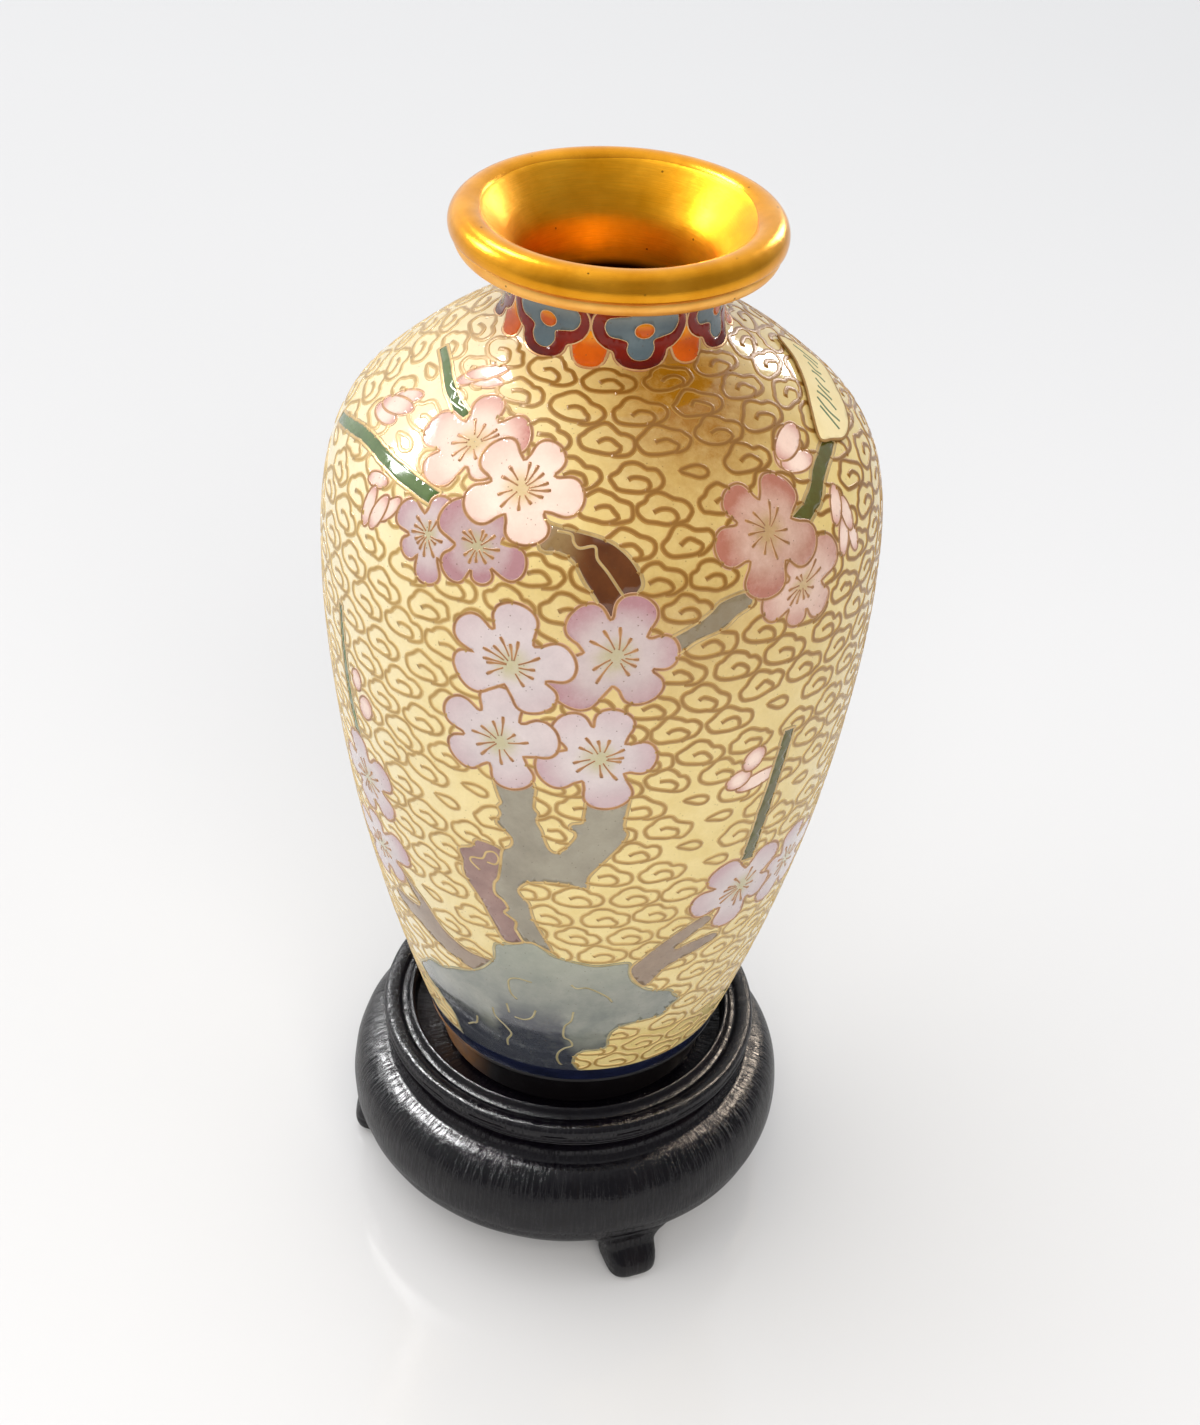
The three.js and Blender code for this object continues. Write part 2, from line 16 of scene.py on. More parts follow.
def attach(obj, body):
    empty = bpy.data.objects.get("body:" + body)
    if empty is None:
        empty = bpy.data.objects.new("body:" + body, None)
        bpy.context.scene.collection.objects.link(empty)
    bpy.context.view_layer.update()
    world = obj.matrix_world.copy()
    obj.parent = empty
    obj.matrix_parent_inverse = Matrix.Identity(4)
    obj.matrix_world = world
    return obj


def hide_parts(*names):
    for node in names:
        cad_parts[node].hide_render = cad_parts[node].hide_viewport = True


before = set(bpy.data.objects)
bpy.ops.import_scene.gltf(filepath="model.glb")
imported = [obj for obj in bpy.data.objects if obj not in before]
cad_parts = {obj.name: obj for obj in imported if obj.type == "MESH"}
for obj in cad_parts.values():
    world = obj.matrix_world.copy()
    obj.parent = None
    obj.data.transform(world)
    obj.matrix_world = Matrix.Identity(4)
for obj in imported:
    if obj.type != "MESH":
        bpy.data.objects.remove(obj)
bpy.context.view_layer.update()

MM = 0.001
DEGREE = math.pi / 180
ROUND = 288            # steps round a turned piece


# ---------- curves ----------
def spline(points, steps=12, closed=False):
    """A smooth line through the points (uniform Catmull-Rom, clamped where it is open)."""
    p = np.asarray(points, float)
    n = len(p)
    spans = n if closed else n - 1
    t = np.linspace(0, 1, steps, endpoint=False)[:, None]
    out = []
    for i in range(spans):
        if closed:
            before, start, end, after = p[i - 1], p[i], p[(i + 1) % n], p[(i + 2) % n]
        else:
            before, start, end, after = p[max(i - 1, 0)], p[i], p[i + 1], p[min(i + 2, n - 1)]
        v0 = (end - before) / 2
        v1 = (after - start) / 2
        cubic = (2 * start - 2 * end + v0 + v1) * t ** 3
        square = (-3 * start + 3 * end - 2 * v0 - v1) * t ** 2
        out.append(cubic + square + v0 * t + start)
    if not closed:
        out.append(p[-1:])
    return np.vstack(out)


def columns(*values):
    """Arrays of one shape side by side as the last axis; a single number fills its own column."""
    return np.stack(np.broadcast_arrays(*values), axis=-1)


def lengths(line):
    """How far along the line each of its points lies."""
    steps = np.linalg.norm(np.diff(line, axis=0), axis=1)
    return np.concatenate([[0], np.cumsum(steps)])


def evenly(line, along, spacing):
    """The same line with its points an even distance apart, given how far along it they lie now."""
    count = max(3, int(round(along[-1] / spacing)) + 1)
    at = np.linspace(0, along[-1], count)
    return columns(*[np.interp(at, along, column) for column in line.T])


# ---------- the vase's face ----------
BODY_PROFILE = [
    (27, 41), (30.4, 52), (34.8, 68), (39.3, 88.3), (42.3, 108.5), (43.9, 128.7), (43.3, 146.4),
    (40, 156.9), (33, 164.2), (25, 170.3), (16.9, 174.3),
]
NECK_PROFILE = [(16.9, 174.3), (16.1, 177.4), (16.1, 181.4), (17.4, 184.2), (18.6, 185.2)]
FACE_STEP = 0.1
CORNER_SOFTNESS = 8    # steps each way over which the corner below the neck is rounded


def _face_table():
    line = np.vstack([spline(BODY_PROFILE, 80), spline(NECK_PROFILE, 40)[1:]])
    line = evenly(line, lengths(line), FACE_STEP)
    soft = line.copy()
    window = 2 * CORNER_SOFTNESS + 1
    for k in range(2):
        mean = np.convolve(line[:, k], np.ones(window) / window, "valid")
        soft[CORNER_SOFTNESS:-CORNER_SOFTNESS, k] = mean
    along = lengths(line)
    run = np.gradient(soft, axis=0)
    run /= np.linalg.norm(run, axis=1)[:, None]
    return along, soft, columns(run[:, 1], -run[:, 0])


FACE_CLIMB, FACE_LINE, FACE_OUT = _face_table()


def face_radius(climb):
    return np.interp(climb, FACE_CLIMB, FACE_LINE[:, 0])


def mm_per_degree(climb):
    return face_radius(climb) * DEGREE


def face(turn, climb, lift=0.0):
    """Points on the face, and the directions straight out of it there."""
    turn = np.asarray(turn, float) * DEGREE
    climb = np.asarray(climb, float)
    r, z, out, up = (np.interp(climb, FACE_CLIMB, column) for column in (*FACE_LINE.T, *FACE_OUT.T))
    normal = columns(out * np.sin(turn), -out * np.cos(turn), up)
    point = columns(r * np.sin(turn), -r * np.cos(turn), z)
    return point + normal * np.asarray(lift, float)[..., None], normal


# ---------- meshes ----------
def coat(obj, material):
    obj.data.materials.clear()
    obj.data.materials.append(material)


def piece(name, verts, faces, material, replaces=(), shade=None, body="vase"):
    """A mesh object in metres, riding on a CAD body.  shade gives each point its three shares
    of the material's other colours."""
    mesh = bpy.data.meshes.new(name)
    verts = np.asarray(verts, float) * MM
    mesh.from_pydata(verts.tolist(), [], [list(map(int, f)) for f in faces])
    if shade is not None:
        layer = mesh.attributes.new("shade", "FLOAT_COLOR", "POINT")
        rgba = np.ones((len(verts), 4))
        rgba[:, :3] = shade
        layer.data.foreach_set("color", rgba.ravel())
    mesh.polygons.foreach_set("use_smooth", [True] * len(mesh.polygons))
    mesh.update()
    obj = bpy.data.objects.new(name, mesh)
    bpy.context.scene.collection.objects.link(obj)
    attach(obj, body)
    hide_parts(*replaces)
    coat(obj, material)
    return obj


def tube_faces(rings, points, looped=True, seamed=True):
    """Quads between rings of points.  The last ring is joined to the first where they are looped, and
    each ring's last point to its first where they are seamed."""
    return [(i * points + k, (i + 1) % rings * points + k,
             (i + 1) % rings * points + (k + 1) % points, i * points + (k + 1) % points)
            for i in range(rings if looped else rings - 1) for k in range(points if seamed else points - 1)]


def lathe(name, profile, material, replaces=(), steps=ROUND, offset=(0, 0), wobble=None,
          crisp=35, shade=None, body="vase"):
    """A closed piece turned about Z from (radius, height) points in order round its section.
    Edges sharper than crisp degrees stay sharp."""
    profile = np.asarray(profile, float)
    on_axis = profile[0, 0] == 0 and profile[-1, 0] == 0
    inner = profile[1:-1] if on_axis else profile
    m = len(inner)
    turn = np.arange(steps) * 2 * math.pi / steps
    r = np.broadcast_to(inner[:, 0], (steps, m)).copy()
    z = np.broadcast_to(inner[:, 1], (steps, m)).copy()
    if wobble is not None:
        r += wobble(turn[:, None], z, r)
    x = offset[0] + r * np.sin(turn)[:, None]
    y = offset[1] - r * np.cos(turn)[:, None]
    verts = columns(x, y, z).reshape(-1, 3).tolist()
    faces = tube_faces(steps, m, seamed=not on_axis)
    if on_axis:
        low = len(verts)
        verts += [[*offset, profile[0, 1]], [*offset, profile[-1, 1]]]
        for i in range(steps):
            j = (i + 1) % steps
            faces += [(low, j * m, i * m), (low + 1, i * m + m - 1, j * m + m - 1)]
    shares = None if shade is None else shade(np.array(verts))
    obj = piece(name, verts, faces, material, replaces, shares, body)
    obj.data.set_sharp_from_angle(angle=crisp * DEGREE)


def inside(points, polygon):
    """Which points lie inside a closed polygon."""
    x, y = points[:, 0][:, None], points[:, 1][:, None]
    x0, y0 = polygon[:, 0], polygon[:, 1]
    x1, y1 = np.roll(x0, -1), np.roll(y0, -1)
    spans = (y0 > y) != (y1 > y)
    rise = np.where(y1 == y0, 1e-12, y1 - y0)
    hits = spans & (x < (x1 - x0) * (y - y0) / rise + x0)
    return hits.sum(axis=1) % 2 == 1


def near(outline, others, margin=0.5):
    """Those of the other outlines whose boxes come near this one's, in degrees and mm."""
    low, high = outline.min(axis=0) - margin, outline.max(axis=0) + margin
    return [o for o in others if np.all(o.min(axis=0) <= high) and np.all(o.max(axis=0) >= low)]


def covered(points, cutters):
    """Which points lie inside any of the cutters."""
    hidden = np.zeros(len(points), bool)
    for cutter in cutters:
        low, high = cutter.min(axis=0), cutter.max(axis=0)
        box = np.all((points >= low) & (points <= high), axis=1)
        if box.any():
            hidden[box] |= inside(points[box], cutter)
    return hidden


FILL_DEPTH = 0.4       # how deep the visible enamel of a picture piece goes


def fill(outline, cutters=(), spacing=1.5, lift=0.0):
    """Enamel inside an outline and outside the cutters, as a thin closed layer that follows the face.
    Returns its points in mm, its triangles, and each point's (turn, climb)."""
    k = np.array([mm_per_degree(outline[:, 1].mean()), 1.0])
    loops = [outline * k] + [cutter * k for cutter in near(outline, cutters)]
    coords, edges = [], []
    for loop in loops:
        first = len(coords)
        coords += [Vector(p) for p in loop]
        n = len(loop)
        edges += [(first + i, first + (i + 1) % n) for i in range(n)]
    low, high = loops[0].min(axis=0), loops[0].max(axis=0)
    rows = np.arange(low[1] + spacing / 2, high[1], spacing * 0.87)
    for row, y in enumerate(rows):
        x = np.arange(low[0] + spacing * (0.5 + 0.5 * (row % 2)), high[0], spacing)
        grid = columns(x, y)
        coords += [Vector(p) for p in grid[inside(grid, loops[0])]] if len(x) else []
    flat, _, tris, *_ = delaunay_2d_cdt(coords, edges, [], 0, 1e-5)
    flat = np.array([tuple(v) for v in flat])
    tris = np.array(tris)
    middle = flat[tris].mean(axis=1)
    keep = inside(middle, loops[0]) & ~covered(middle, loops[1:])
    a, b, c = (flat[tris[:, i]] for i in range(3))
    area = (b[:, 0] - a[:, 0]) * (c[:, 1] - a[:, 1]) - (b[:, 1] - a[:, 1]) * (c[:, 0] - a[:, 0])
    tris = np.where((area < 0)[:, None], tris[:, ::-1], tris)[keep & (np.abs(area) > 1e-7)]
    used, index = np.unique(tris, return_inverse=True)
    tris = index.reshape(-1, 3)
    where = flat[used] / k
    n = len(used)
    top, _ = face(where[:, 0], where[:, 1], np.full(n, lift))
    under, _ = face(where[:, 0], where[:, 1], np.full(n, lift - FILL_DEPTH))
    sides = np.vstack([tris[:, [0, 1]], tris[:, [1, 2]], tris[:, [2, 0]]])
    seen = {(int(p), int(q)) for p, q in sides}
    rim = [(p, q) for p, q in seen if (q, p) not in seen]
    faces = [tuple(t) for t in tris] + [(t[2] + n, t[1] + n, t[0] + n) for t in tris]
    faces += [(q, p, p + n, q + n) for p, q in sorted(rim)]
    return np.vstack([top, under]), faces, np.vstack([where, where])


# a wire's section: across it as a share of its width, millimetres above the enamel, and how much of
# it is bare metal; beside the metal the glass climbs up it and is stained by it
WIRE_SECTION = [(1.05, -0.2, 0.0), (0.95, 0.0, 0.0), (0.6, 0.01, 0.45), (0.4, 0.024, 1.0), (0.0, 0.034, 1.0),
                (-0.4, 0.024, 1.0), (-0.6, 0.01, 0.45), (-0.95, 0.0, 0.0), (-1.05, -0.2, 0.0)]


def ribbon(path, width, closed=False, widths=None, lift=0.0):
    """A flat wire standing on edge along a path of (turn, climb)."""
    point, normal = face(path[:, 0], path[:, 1], np.full(len(path), lift))
    if closed:
        run = np.roll(point, -1, axis=0) - np.roll(point, 1, axis=0)
    else:
        run = np.gradient(point, axis=0)
    run /= np.maximum(np.linalg.norm(run, axis=1), 1e-9)[:, None]
    side = np.cross(run, normal)
    side /= np.linalg.norm(side, axis=1)[:, None]
    scale = np.ones(len(path)) if widths is None else widths
    rings = [point + side * (across * width * scale)[:, None] + normal * up for across, up, _ in WIRE_SECTION]
    n, m = len(path), len(WIRE_SECTION)
    verts = np.stack(rings, axis=1).reshape(-1, 3)
    faces = tube_faces(n, m, looped=closed)
    if not closed:
        faces.append(tuple(range(m)))
        faces.append(tuple((n - 1) * m + k for k in reversed(range(m))))
    return verts, faces


def merge(parts):
    verts, faces, start = [], [], 0
    for part_verts, part_faces in parts:
        verts.append(part_verts)
        faces += [tuple(i + start for i in f) for f in part_faces]
        start += len(part_verts)
    return np.vstack(verts), faces


def wire_shade(verts):
    """How bare the metal is at each point of merged ribbons."""
    bare = np.tile([metal for _, _, metal in WIRE_SECTION], len(verts) // len(WIRE_SECTION))
    return columns(bare, 0.0, 0.0)


def to_mm(path):
    """A path's own flat picture in millimetres, to measure along it."""
    return columns(path[:, 0] * mm_per_degree(path[:, 1]), path[:, 1])


def along_face(path, spacing, closed=False):
    """The path again with points an even distance apart on the face."""
    path = np.asarray(path, float)
    if closed:
        path = np.vstack([path, path[:1]])
    out = evenly(path, lengths(to_mm(path)), spacing)
    return out[:-1] if closed else out


def uncovered(path, cutters, closed=False):
    """The stretches of a path that lie outside the cutters, as (path, closed) pairs."""
    hidden = covered(path, near(path, cutters))
    if not hidden.any():
        return [(path, closed)]
    if hidden.all():
        return []
    if closed:
        first = int(np.argmax(hidden))
        path = np.roll(path, -first, axis=0)
        hidden = np.roll(hidden, -first)
    stretches, start = [], None
    for i, is_hidden in enumerate(list(hidden) + [True]):
        if not is_hidden and start is None:
            start = i
        if is_hidden and start is not None:
            if i - start >= 3:
                stretches.append((path[max(start - 1, 0):min(i + 1, len(path))], False))
            start = None
    return stretches


def wires(paths, width, cutters=(), spacing=0.4):
    """Ribbons along several (path, closed) pairs, where nothing in front covers them."""
    parts = []
    for path, closed in paths:
        for stretch, whole in uncovered(along_face(path, spacing, closed), cutters, closed):
            parts.append(ribbon(stretch, width, whole))
    return parts


# ---------- the picture: what is drawn, front pieces first ----------
# a blossom: its middle, then each petal as (direction in degrees, reach in mm, percent of tint at its tip)
BLOSSOMS = {
    "upper_front": [(-19, 126.5), (0, 9, 15), (62, 8.2, 20), (146, 8.8, 30), (217, 8.4, 20), (293, 8.2, 20)],
    "upper_mauve": [
        (-24.5, 117), (346, 7.6, 100), (62, 6.5, 70), (148, 8, 70), (236, 6.8, 90), (290, 5.4, 90)],
    "upper_back": [(-36, 130.5), (30, 9, 90), (102, 8, 70), (188, 9, 60), (243, 8.4, 30), (319, 6, 30)],
    "upper_side": [(-36, 116), (80, 6, 60), (166, 6.8, 60), (230, 5.5, 60), (282, 7.2, 80), (340, 5.5, 40)],
    "centre_left": [
        (-15, 100.5), (12, 9.4, 10), (92, 10, 20), (150, 10.2, 30), (196, 9.4, 30), (312, 8.6, 20)],
    "centre_lower": [(-17, 86.5), (20, 9.2, 10), (90, 10, 15), (153, 9.8, 30), (212, 9.4, 40), (286, 9, 40)],
    "centre_base": [(2.5, 86), (0, 8.4, 50), (78, 9.2, 30), (128, 9.4, 30), (204, 10, 60), (282, 10.2, 50)],
    "centre_right": [
        (4.5, 104), (2, 8.8, 60), (72, 9.8, 110), (130, 9.4, 90), (222, 11.5, 90), (308, 9.2, 60)],
    "right_front": [
        (36.5, 119.5), (48, 9.2, 90), (125, 8.6, 100), (187, 9, 90), (256, 9.8, 90), (325, 9.2, 50)],
    "right_back": [(43, 110), (27, 8.8, 50), (110, 5, 40), (197, 7.8, 50), (255, 6.4, 60), (308, 7.4, 30)],
    "low_right": [(40.5, 51.5), (48, 9, 50), (136, 9.4, 60), (186, 9.8, 40), (262, 9.6, 50), (330, 7.6, 30)],
    "low_far_right": [
        (57.5, 50), (20, 8.6, 50), (92, 8.6, 60), (164, 6.4, 40), (236, 8.6, 50), (308, 8.6, 40)],
    "low_left": [(-56, 48.5), (28, 9.2, 70), (100, 7, 40), (172, 8.6, 50), (244, 8.2, 50), (316, 7.2, 50)],
    "low_far_left": [
        (-56, 63.5), (36, 8.4, 50), (108, 8.6, 50), (180, 8.4, 40), (252, 7.4, 40), (324, 8, 60)],
    "back_high": [(164, 112), (18, 9, 40), (90, 9.2, 60), (162, 9, 40), (234, 9, 60), (306, 9, 40)],
    "back_low": [(182, 101), (54, 8.8, 60), (126, 9, 40), (198, 8.8, 50), (270, 9, 70), (342, 9, 50)],
}
# blossoms whose whole glass is tinted more, and which are darkened browner by a painted shade: how much of
# the tint, and of the brown painted shade
DUSK_AND_SHADE = {"upper_mauve": (0.42, 0.22), "upper_side": (0.15, 0.1), "centre_right": (0.1, 0.2),
         "right_front": (0.28, 0.45), "right_back": (0.15, 0.28)}
PINK_BLOSSOMS = ("upper_front", "upper_back", "right_front", "right_back")

TRUNK_LEFT = [
    (-18, 80), (-17.5, 76), (-16.8, 74.5), (-17.7, 73.5), (-17, 72), (-18, 70), (-14.8, 67.5), (-15, 65.5),
    (-16.8, 64.3),
]
TRUNK_DIVIDER = [
    (-16.8, 64.3), (-17.3, 61), (-18, 57.5), (-19, 56), (-19, 53.5), (-17, 52.3), (-16, 50.5), (-17, 49.3),
    (-14.3, 47.7), (-14.5, 45.8), (-13.8, 44.5), (-12.5, 42.7),
]
TRUNK_RIGHT = [
    (-10.3, 42.9), (-7, 41.5), (-5.5, 41.4), (-8.5, 46.5), (-10.3, 50), (-11, 53), (-12.8, 54.5),
    (-13.3, 56), (-11, 58), (-6, 58.8), (-2, 58.7), (1.7, 58), (1.8, 60.5), (3, 62.3), (5, 64.5), (8, 68),
    (9.3, 70.5), (8.3, 72.5), (8.5, 80),
]
TRUNK_FORK = [
    (0.3, 80), (0.3, 77.5), (0, 74), (-0.2, 72.8), (-2.3, 72.4), (-2.7, 71.2), (-1.6, 70.7), (-1.5, 69.5),
    (-3.5, 67), (-5, 65.8), (-6.5, 66.3), (-7.5, 68), (-8.3, 70.3), (-9.3, 72), (-9, 73.8), (-10, 75),
    (-10.2, 80),
]
ROOT_LEFT = [
    (-22.5, 65), (-24, 63), (-27.3, 61.5), (-26.7, 59), (-26.5, 55.5), (-23, 51), (-20, 45.5), (-17.3, 41.5),
]
ROCK_FOOT = 2.6
ROCK = [
    (-20.2, 40), (-16, 41.2), (-12.5, 42.8), (-10.3, 43), (-7, 41.2), (-5, 40), (3, 38.3), (6, 38),
    (13, 38.5), (14, 37.5), (14.2, 35.5), (15.5, 33), (18, 31), (20.5, 29.5), (24, 28.5), (28, 27.3),
    (29.5, 25.5), (32, 23.7), (29.5, 22), (28, 19.7), (22, 19.5), (18.5, 19.2), (15, 18.5), (12.5, 17),
    (11.8, 14.5), (12, 12), (9, 11), (5, 10.8), (2.5, 9.3), (1.5, 6.8), (2.8, 4.6), (5, ROCK_FOOT),
    (-6, ROCK_FOOT), (-18, ROCK_FOOT), (-30, ROCK_FOOT), (-42, ROCK_FOOT), (-43, 9.5), (-46, 12), (-49, 14),
    (-52, 15.5), (-55, 18.5), (-50, 22), (-46, 24.5), (-40, 25.3), (-36, 27), (-30, 29), (-26, 31),
    (-22.5, 34), (-20.8, 36.5),
]
UPPER_BRANCH = [
    (-14, 123.8), (-11, 122.5), (-6, 122), (-1, 121.4), (3, 120.4), (6.5, 118.3), (8.5, 115.7), (8, 113.8),
    (3.5, 110.5), (1.2, 110.3), (0, 112.3), (-2.5, 114.8), (-5, 117.5), (-8, 118.5), (-12, 118.7),
]
SIDE_BRANCH = [
    (13, 106), (19, 108.5), (22, 110), (24, 111.3), (29, 112), (31, 111), (30.5, 109.5), (27.5, 108.5),
    (25, 107), (22, 106.3), (19, 105.5), (16.5, 104.2), (13, 103.5),
]
LEFT_BRANCH = [
    (-21.5, 34.6), (-25, 35), (-29, 35.2), (-36, 38), (-41, 43), (-48, 46.6), (-46, 43), (-43.5, 40.4),
    (-48, 39.6), (-54, 39.4), (-54, 37), (-46, 34.6), (-40, 32.3), (-33, 30.6), (-27, 30),
]
RIGHT_BRANCH = [
    (14.2, 36.6), (17, 39.4), (20, 42), (25, 45), (31, 47.4), (34, 45.4), (29, 42.6), (25.4, 40.2),
    (30, 41), (36, 41.2), (38, 39.2), (30, 37), (24.6, 35.4), (22, 33), (19.4, 30.6), (16, 33),
]
BACK_BRANCH = [(198, 62), (190, 74), (188, 88), (180, 98), (170, 106)]

# wires drawn inside the pieces: cracks in the bark and folds of the rock
INNER_WIRES = {
    "upper_branch": [
        [(-9, 121.5), (-6, 121.3), (-5.3, 120.2), (-4, 119.5), (-1, 119.9), (-0.3, 118.2), (2, 116.3),
         (5.2, 113)]],
    "trunk_root": [
        [(-22.3, 58), (-24.5, 59.5), (-24, 60.5), (-21.5, 61), (-20.5, 62.7), (-18.7, 63.2), (-17.7, 62),
         (-18.5, 60.5), (-20.5, 60.5)]],
    "rock": [
        [(-15.5, 25.3), (-17.3, 27), (-17.5, 30.5), (-15, 31.8), (-11, 31.5)], [(-19, 23), (-18.6, 20.3)],
        [(-17, 19.3), (-14, 19.2), (-11.5, 20.5), (-10.3, 23)],
        [(-24, 20), (-23.6, 17.5), (-20.5, 15), (-19, 13), (-20.8, 10.5), (-21, 8.5)],
        [(0.5, 24), (0, 21), (-1.8, 19), (-2, 15.5), (0, 14.3), (0.8, 12.5), (-1.5, 11.5), (-3.3, 10),
         (-4, 8), (-3.3, 6), (-2.3, 5.3)], [(-31, 14.5), (-32, 12), (-34, 11), (-36.5, 9.5)],
        [(-0.5, 32.3), (1, 31.3), (4, 31.5), (9, 29), (11, 27)]],
}
# a twig: its centre line, and its width at both ends
TWIGS = {
    "left_twig_low": ([(-37, 121), (-52, 121.8), (-68, 121.6), (-86, 117.4)], (2.6, 2.2)),
    "left_twig_high": ([(-43, 133.2), (-54, 135.3), (-67, 137.6), (-77, 138.2)], (2.2, 1.6)),
    "right_twig_high": ([(43, 118.6), (51, 120.8), (58, 124), (69, 126.2)], (3.2, 2.6)),
    "right_twig_low": ([(39.6, 58), (41, 68), (43.5, 84.6)], (3, 2.4)),
    "left_twig_side": ([(-57, 70), (-59.6, 80), (-61, 95.4)], (2.1, 1.5)),
}
# a bud: its petals in front-to-back order, each [middle, long axis, short axis, lean in degrees]
BUDS = {
    "left_bud_low": [
        [(-50.4, 115), 6.2, 2.6, 74], [(-53.8, 114.8), 6.4, 2.6, 92], [(-47.6, 116.4), 5.4, 2.4, 58],
        [(-54.4, 118.8), 4.8, 2.4, 12]],
    "left_bud_side": [[(-67, 128.2), 8.2, 3, 20], [(-68, 126), 7, 2.8, 6], [(-66.4, 130.2), 6.4, 2.6, 36]],
    "left_bud_high": [
        [(-49, 140.6), 6.8, 2.6, 40], [(-51.6, 139.4), 6.6, 2.6, 58], [(-46.6, 139.4), 6.2, 2.4, 20]],
    "left_bud_middle": [[(-52.4, 79.6), 5, 3.6, 62], [(-55.2, 83.8), 4.2, 3, 80]],
    "right_bud_low": [
        [(57.2, 118.4), 6.2, 2.7, 62], [(59.8, 116.4), 6, 2.7, 96], [(57, 113.4), 5.8, 2.6, 74],
        [(60.6, 112.2), 5, 2.4, 104]],
    "right_bud_high": [[(54.2, 129.9), 7.8, 3.8, 22], [(53, 126.8), 6.8, 3.4, -8], [(50.2, 129), 5.2, 3, 50]],
    "right_bud_middle": [[(35, 81.4), 4.8, 3.8, 60], [(32, 78), 4.6, 3.6, 20], [(37, 76.6), 8, 3, 10]],
}


EVEN_STEP = 36.0       # half the angle between two of five even petals
NOTCH = 0.53           # how far out two petals meet, as a share of their reach
# one side of an even petal: degrees from its middle, and how far out as a share of its reach
PETAL_HALF = [(29.5, 0.63), (27.6, 0.72), (24.2, 0.84), (17.5, 0.935), (8.5, 0.985)]


def polar_petal(direction, reach, before, after, before_reach, after_reach):
    """One petal's edge, from the notch before it to the notch after it, as (degrees, mm) points.
    before and after are half the angles to its neighbours."""
    def half(step, neighbour):
        notch = NOTCH * (reach + neighbour) / 2 * (EVEN_STEP / max(step, EVEN_STEP / 2)) ** 0.6
        spread = 0.4 + 0.6 * step / EVEN_STEP
        return [(step, notch)] + [(a * spread, f * reach) for a, f in PETAL_HALF]
    rising = [(direction - a, r) for a, r in half(before, before_reach)]
    falling = [(direction + a, r) for a, r in half(after, after_reach)]
    return rising + [(direction, reach)] + falling[::-1]


def around(middle, polar):
    """Points given as (degrees, mm) about a middle, as (turn, climb)."""
    polar = np.asarray(polar, float)
    a = polar[:, 0] * DEGREE
    k = mm_per_degree(middle[1])
    return columns(middle[0] + polar[:, 1] * np.cos(a) / k, middle[1] + polar[:, 1] * np.sin(a))


def blossom_outline(middle, petals):
    ordered = sorted(petals)
    n = len(ordered)
    edge = []
    for i, (direction, reach, _) in enumerate(ordered):
        last, following = ordered[i - 1], ordered[(i + 1) % n]
        before = ((direction - last[0]) % 360) / 2
        after = ((following[0] - direction) % 360) / 2
        polar = polar_petal(direction, reach, before, after, last[1], following[1])
        edge.append(spline(around(middle, polar), 4)[:-1])
    return np.vstack(edge)


def oval(middle, long, short, lean, count=28):
    a = np.arange(count) * 2 * math.pi / count
    x, y = long / 2 * np.cos(a), short / 2 * np.sin(a)
    c, s = math.cos(lean * DEGREE), math.sin(lean * DEGREE)
    k = mm_per_degree(middle[1])
    return columns(middle[0] + (x * c - y * s) / k, middle[1] + x * s + y * c)


def strip(line, width, tip_width, wander, seed):
    """The outline of a tapering twig along a centre line, its edges wandering a little."""
    line = along_face(spline(line, 10), 1.2)
    run = np.gradient(to_mm(line), axis=0)
    run /= np.linalg.norm(run, axis=1)[:, None]
    rng = np.random.default_rng(seed)
    half = np.linspace(width, tip_width, len(line)) / 2 + wander * rng.standard_normal(len(line))
    k = mm_per_degree(line[:, 1])
    side = columns(-run[:, 1] * half / k, run[:, 0] * half)
    return np.vstack([line + side, (line - side)[::-1]])


def smooth_outline(points, steps):
    return spline(points, steps, closed=True)


def smoothstep(low, high, x):
    t = np.clip((np.asarray(x, float) - low) / (high - low), 0, 1)
    return t * t * (3 - 2 * t)


# ---------- enamel shading: red is tint, green is the pale heart, blue is darkness (painted light and shade on the ground, painted shade on blossoms) ---
# the last share is a painted shade that darkens a whole blossom browner
def blossom_shade(middle, petals, dusk, painted_shade, where):
    k = mm_per_degree(middle[1])
    dx, dy = (where[:, 0] - middle[0]) * k, where[:, 1] - middle[1]
    angle = np.degrees(np.arctan2(dy, dx))
    distance = np.hypot(dx, dy)
    closeness = np.stack([np.cos((angle - p[0]) * DEGREE) for p in petals])
    nearest = closeness.argmax(axis=0)
    reach = np.array([p[1] for p in petals])[nearest]
    depth = np.array([p[2] for p in petals])[nearest] / 100
    edge = smoothstep(0.45, 1.0, distance / reach)
    shoulder = smoothstep(0.93, 0.80, closeness.max(axis=0)) * smoothstep(0.5, 0.8, distance / reach)
    tint = np.clip(dusk + depth * np.clip(edge + 0.5 * shoulder, 0, 1), 0, 1.15)
    heart = 1 - smoothstep(0.08, 0.42, distance / reach)
    return columns(tint, heart, painted_shade)


def rock_shade(where):
    """Grey-green above and near-black below, with the dark rising highest between two folds."""
    turn, climb = where[:, 0], where[:, 1]
    rise = smoothstep(-25, -21, turn) * smoothstep(-0.5, -3, turn)
    left = smoothstep(-24, -34, turn)
    right = smoothstep(-4, 6, turn)
    line = 12.0 + 9.5 * rise + 4.0 * left - 2.0 * right
    dark = smoothstep(line + 6.0, line - 4.0, climb)
    pale = smoothstep(26, 40, climb) * 0.6
    return columns(pale, 0.0, dark)


def plain_shade(tint=0.0, heart=0.0, dark=0.0):
    return lambda where: np.tile([tint, heart, dark], (len(where), 1))


def upper_branch_shade(where):
    """Grey towards its left end."""
    return columns(smoothstep(-2.5, -7.5, where[:, 0]) * 0.9, 0.0, 0.0)


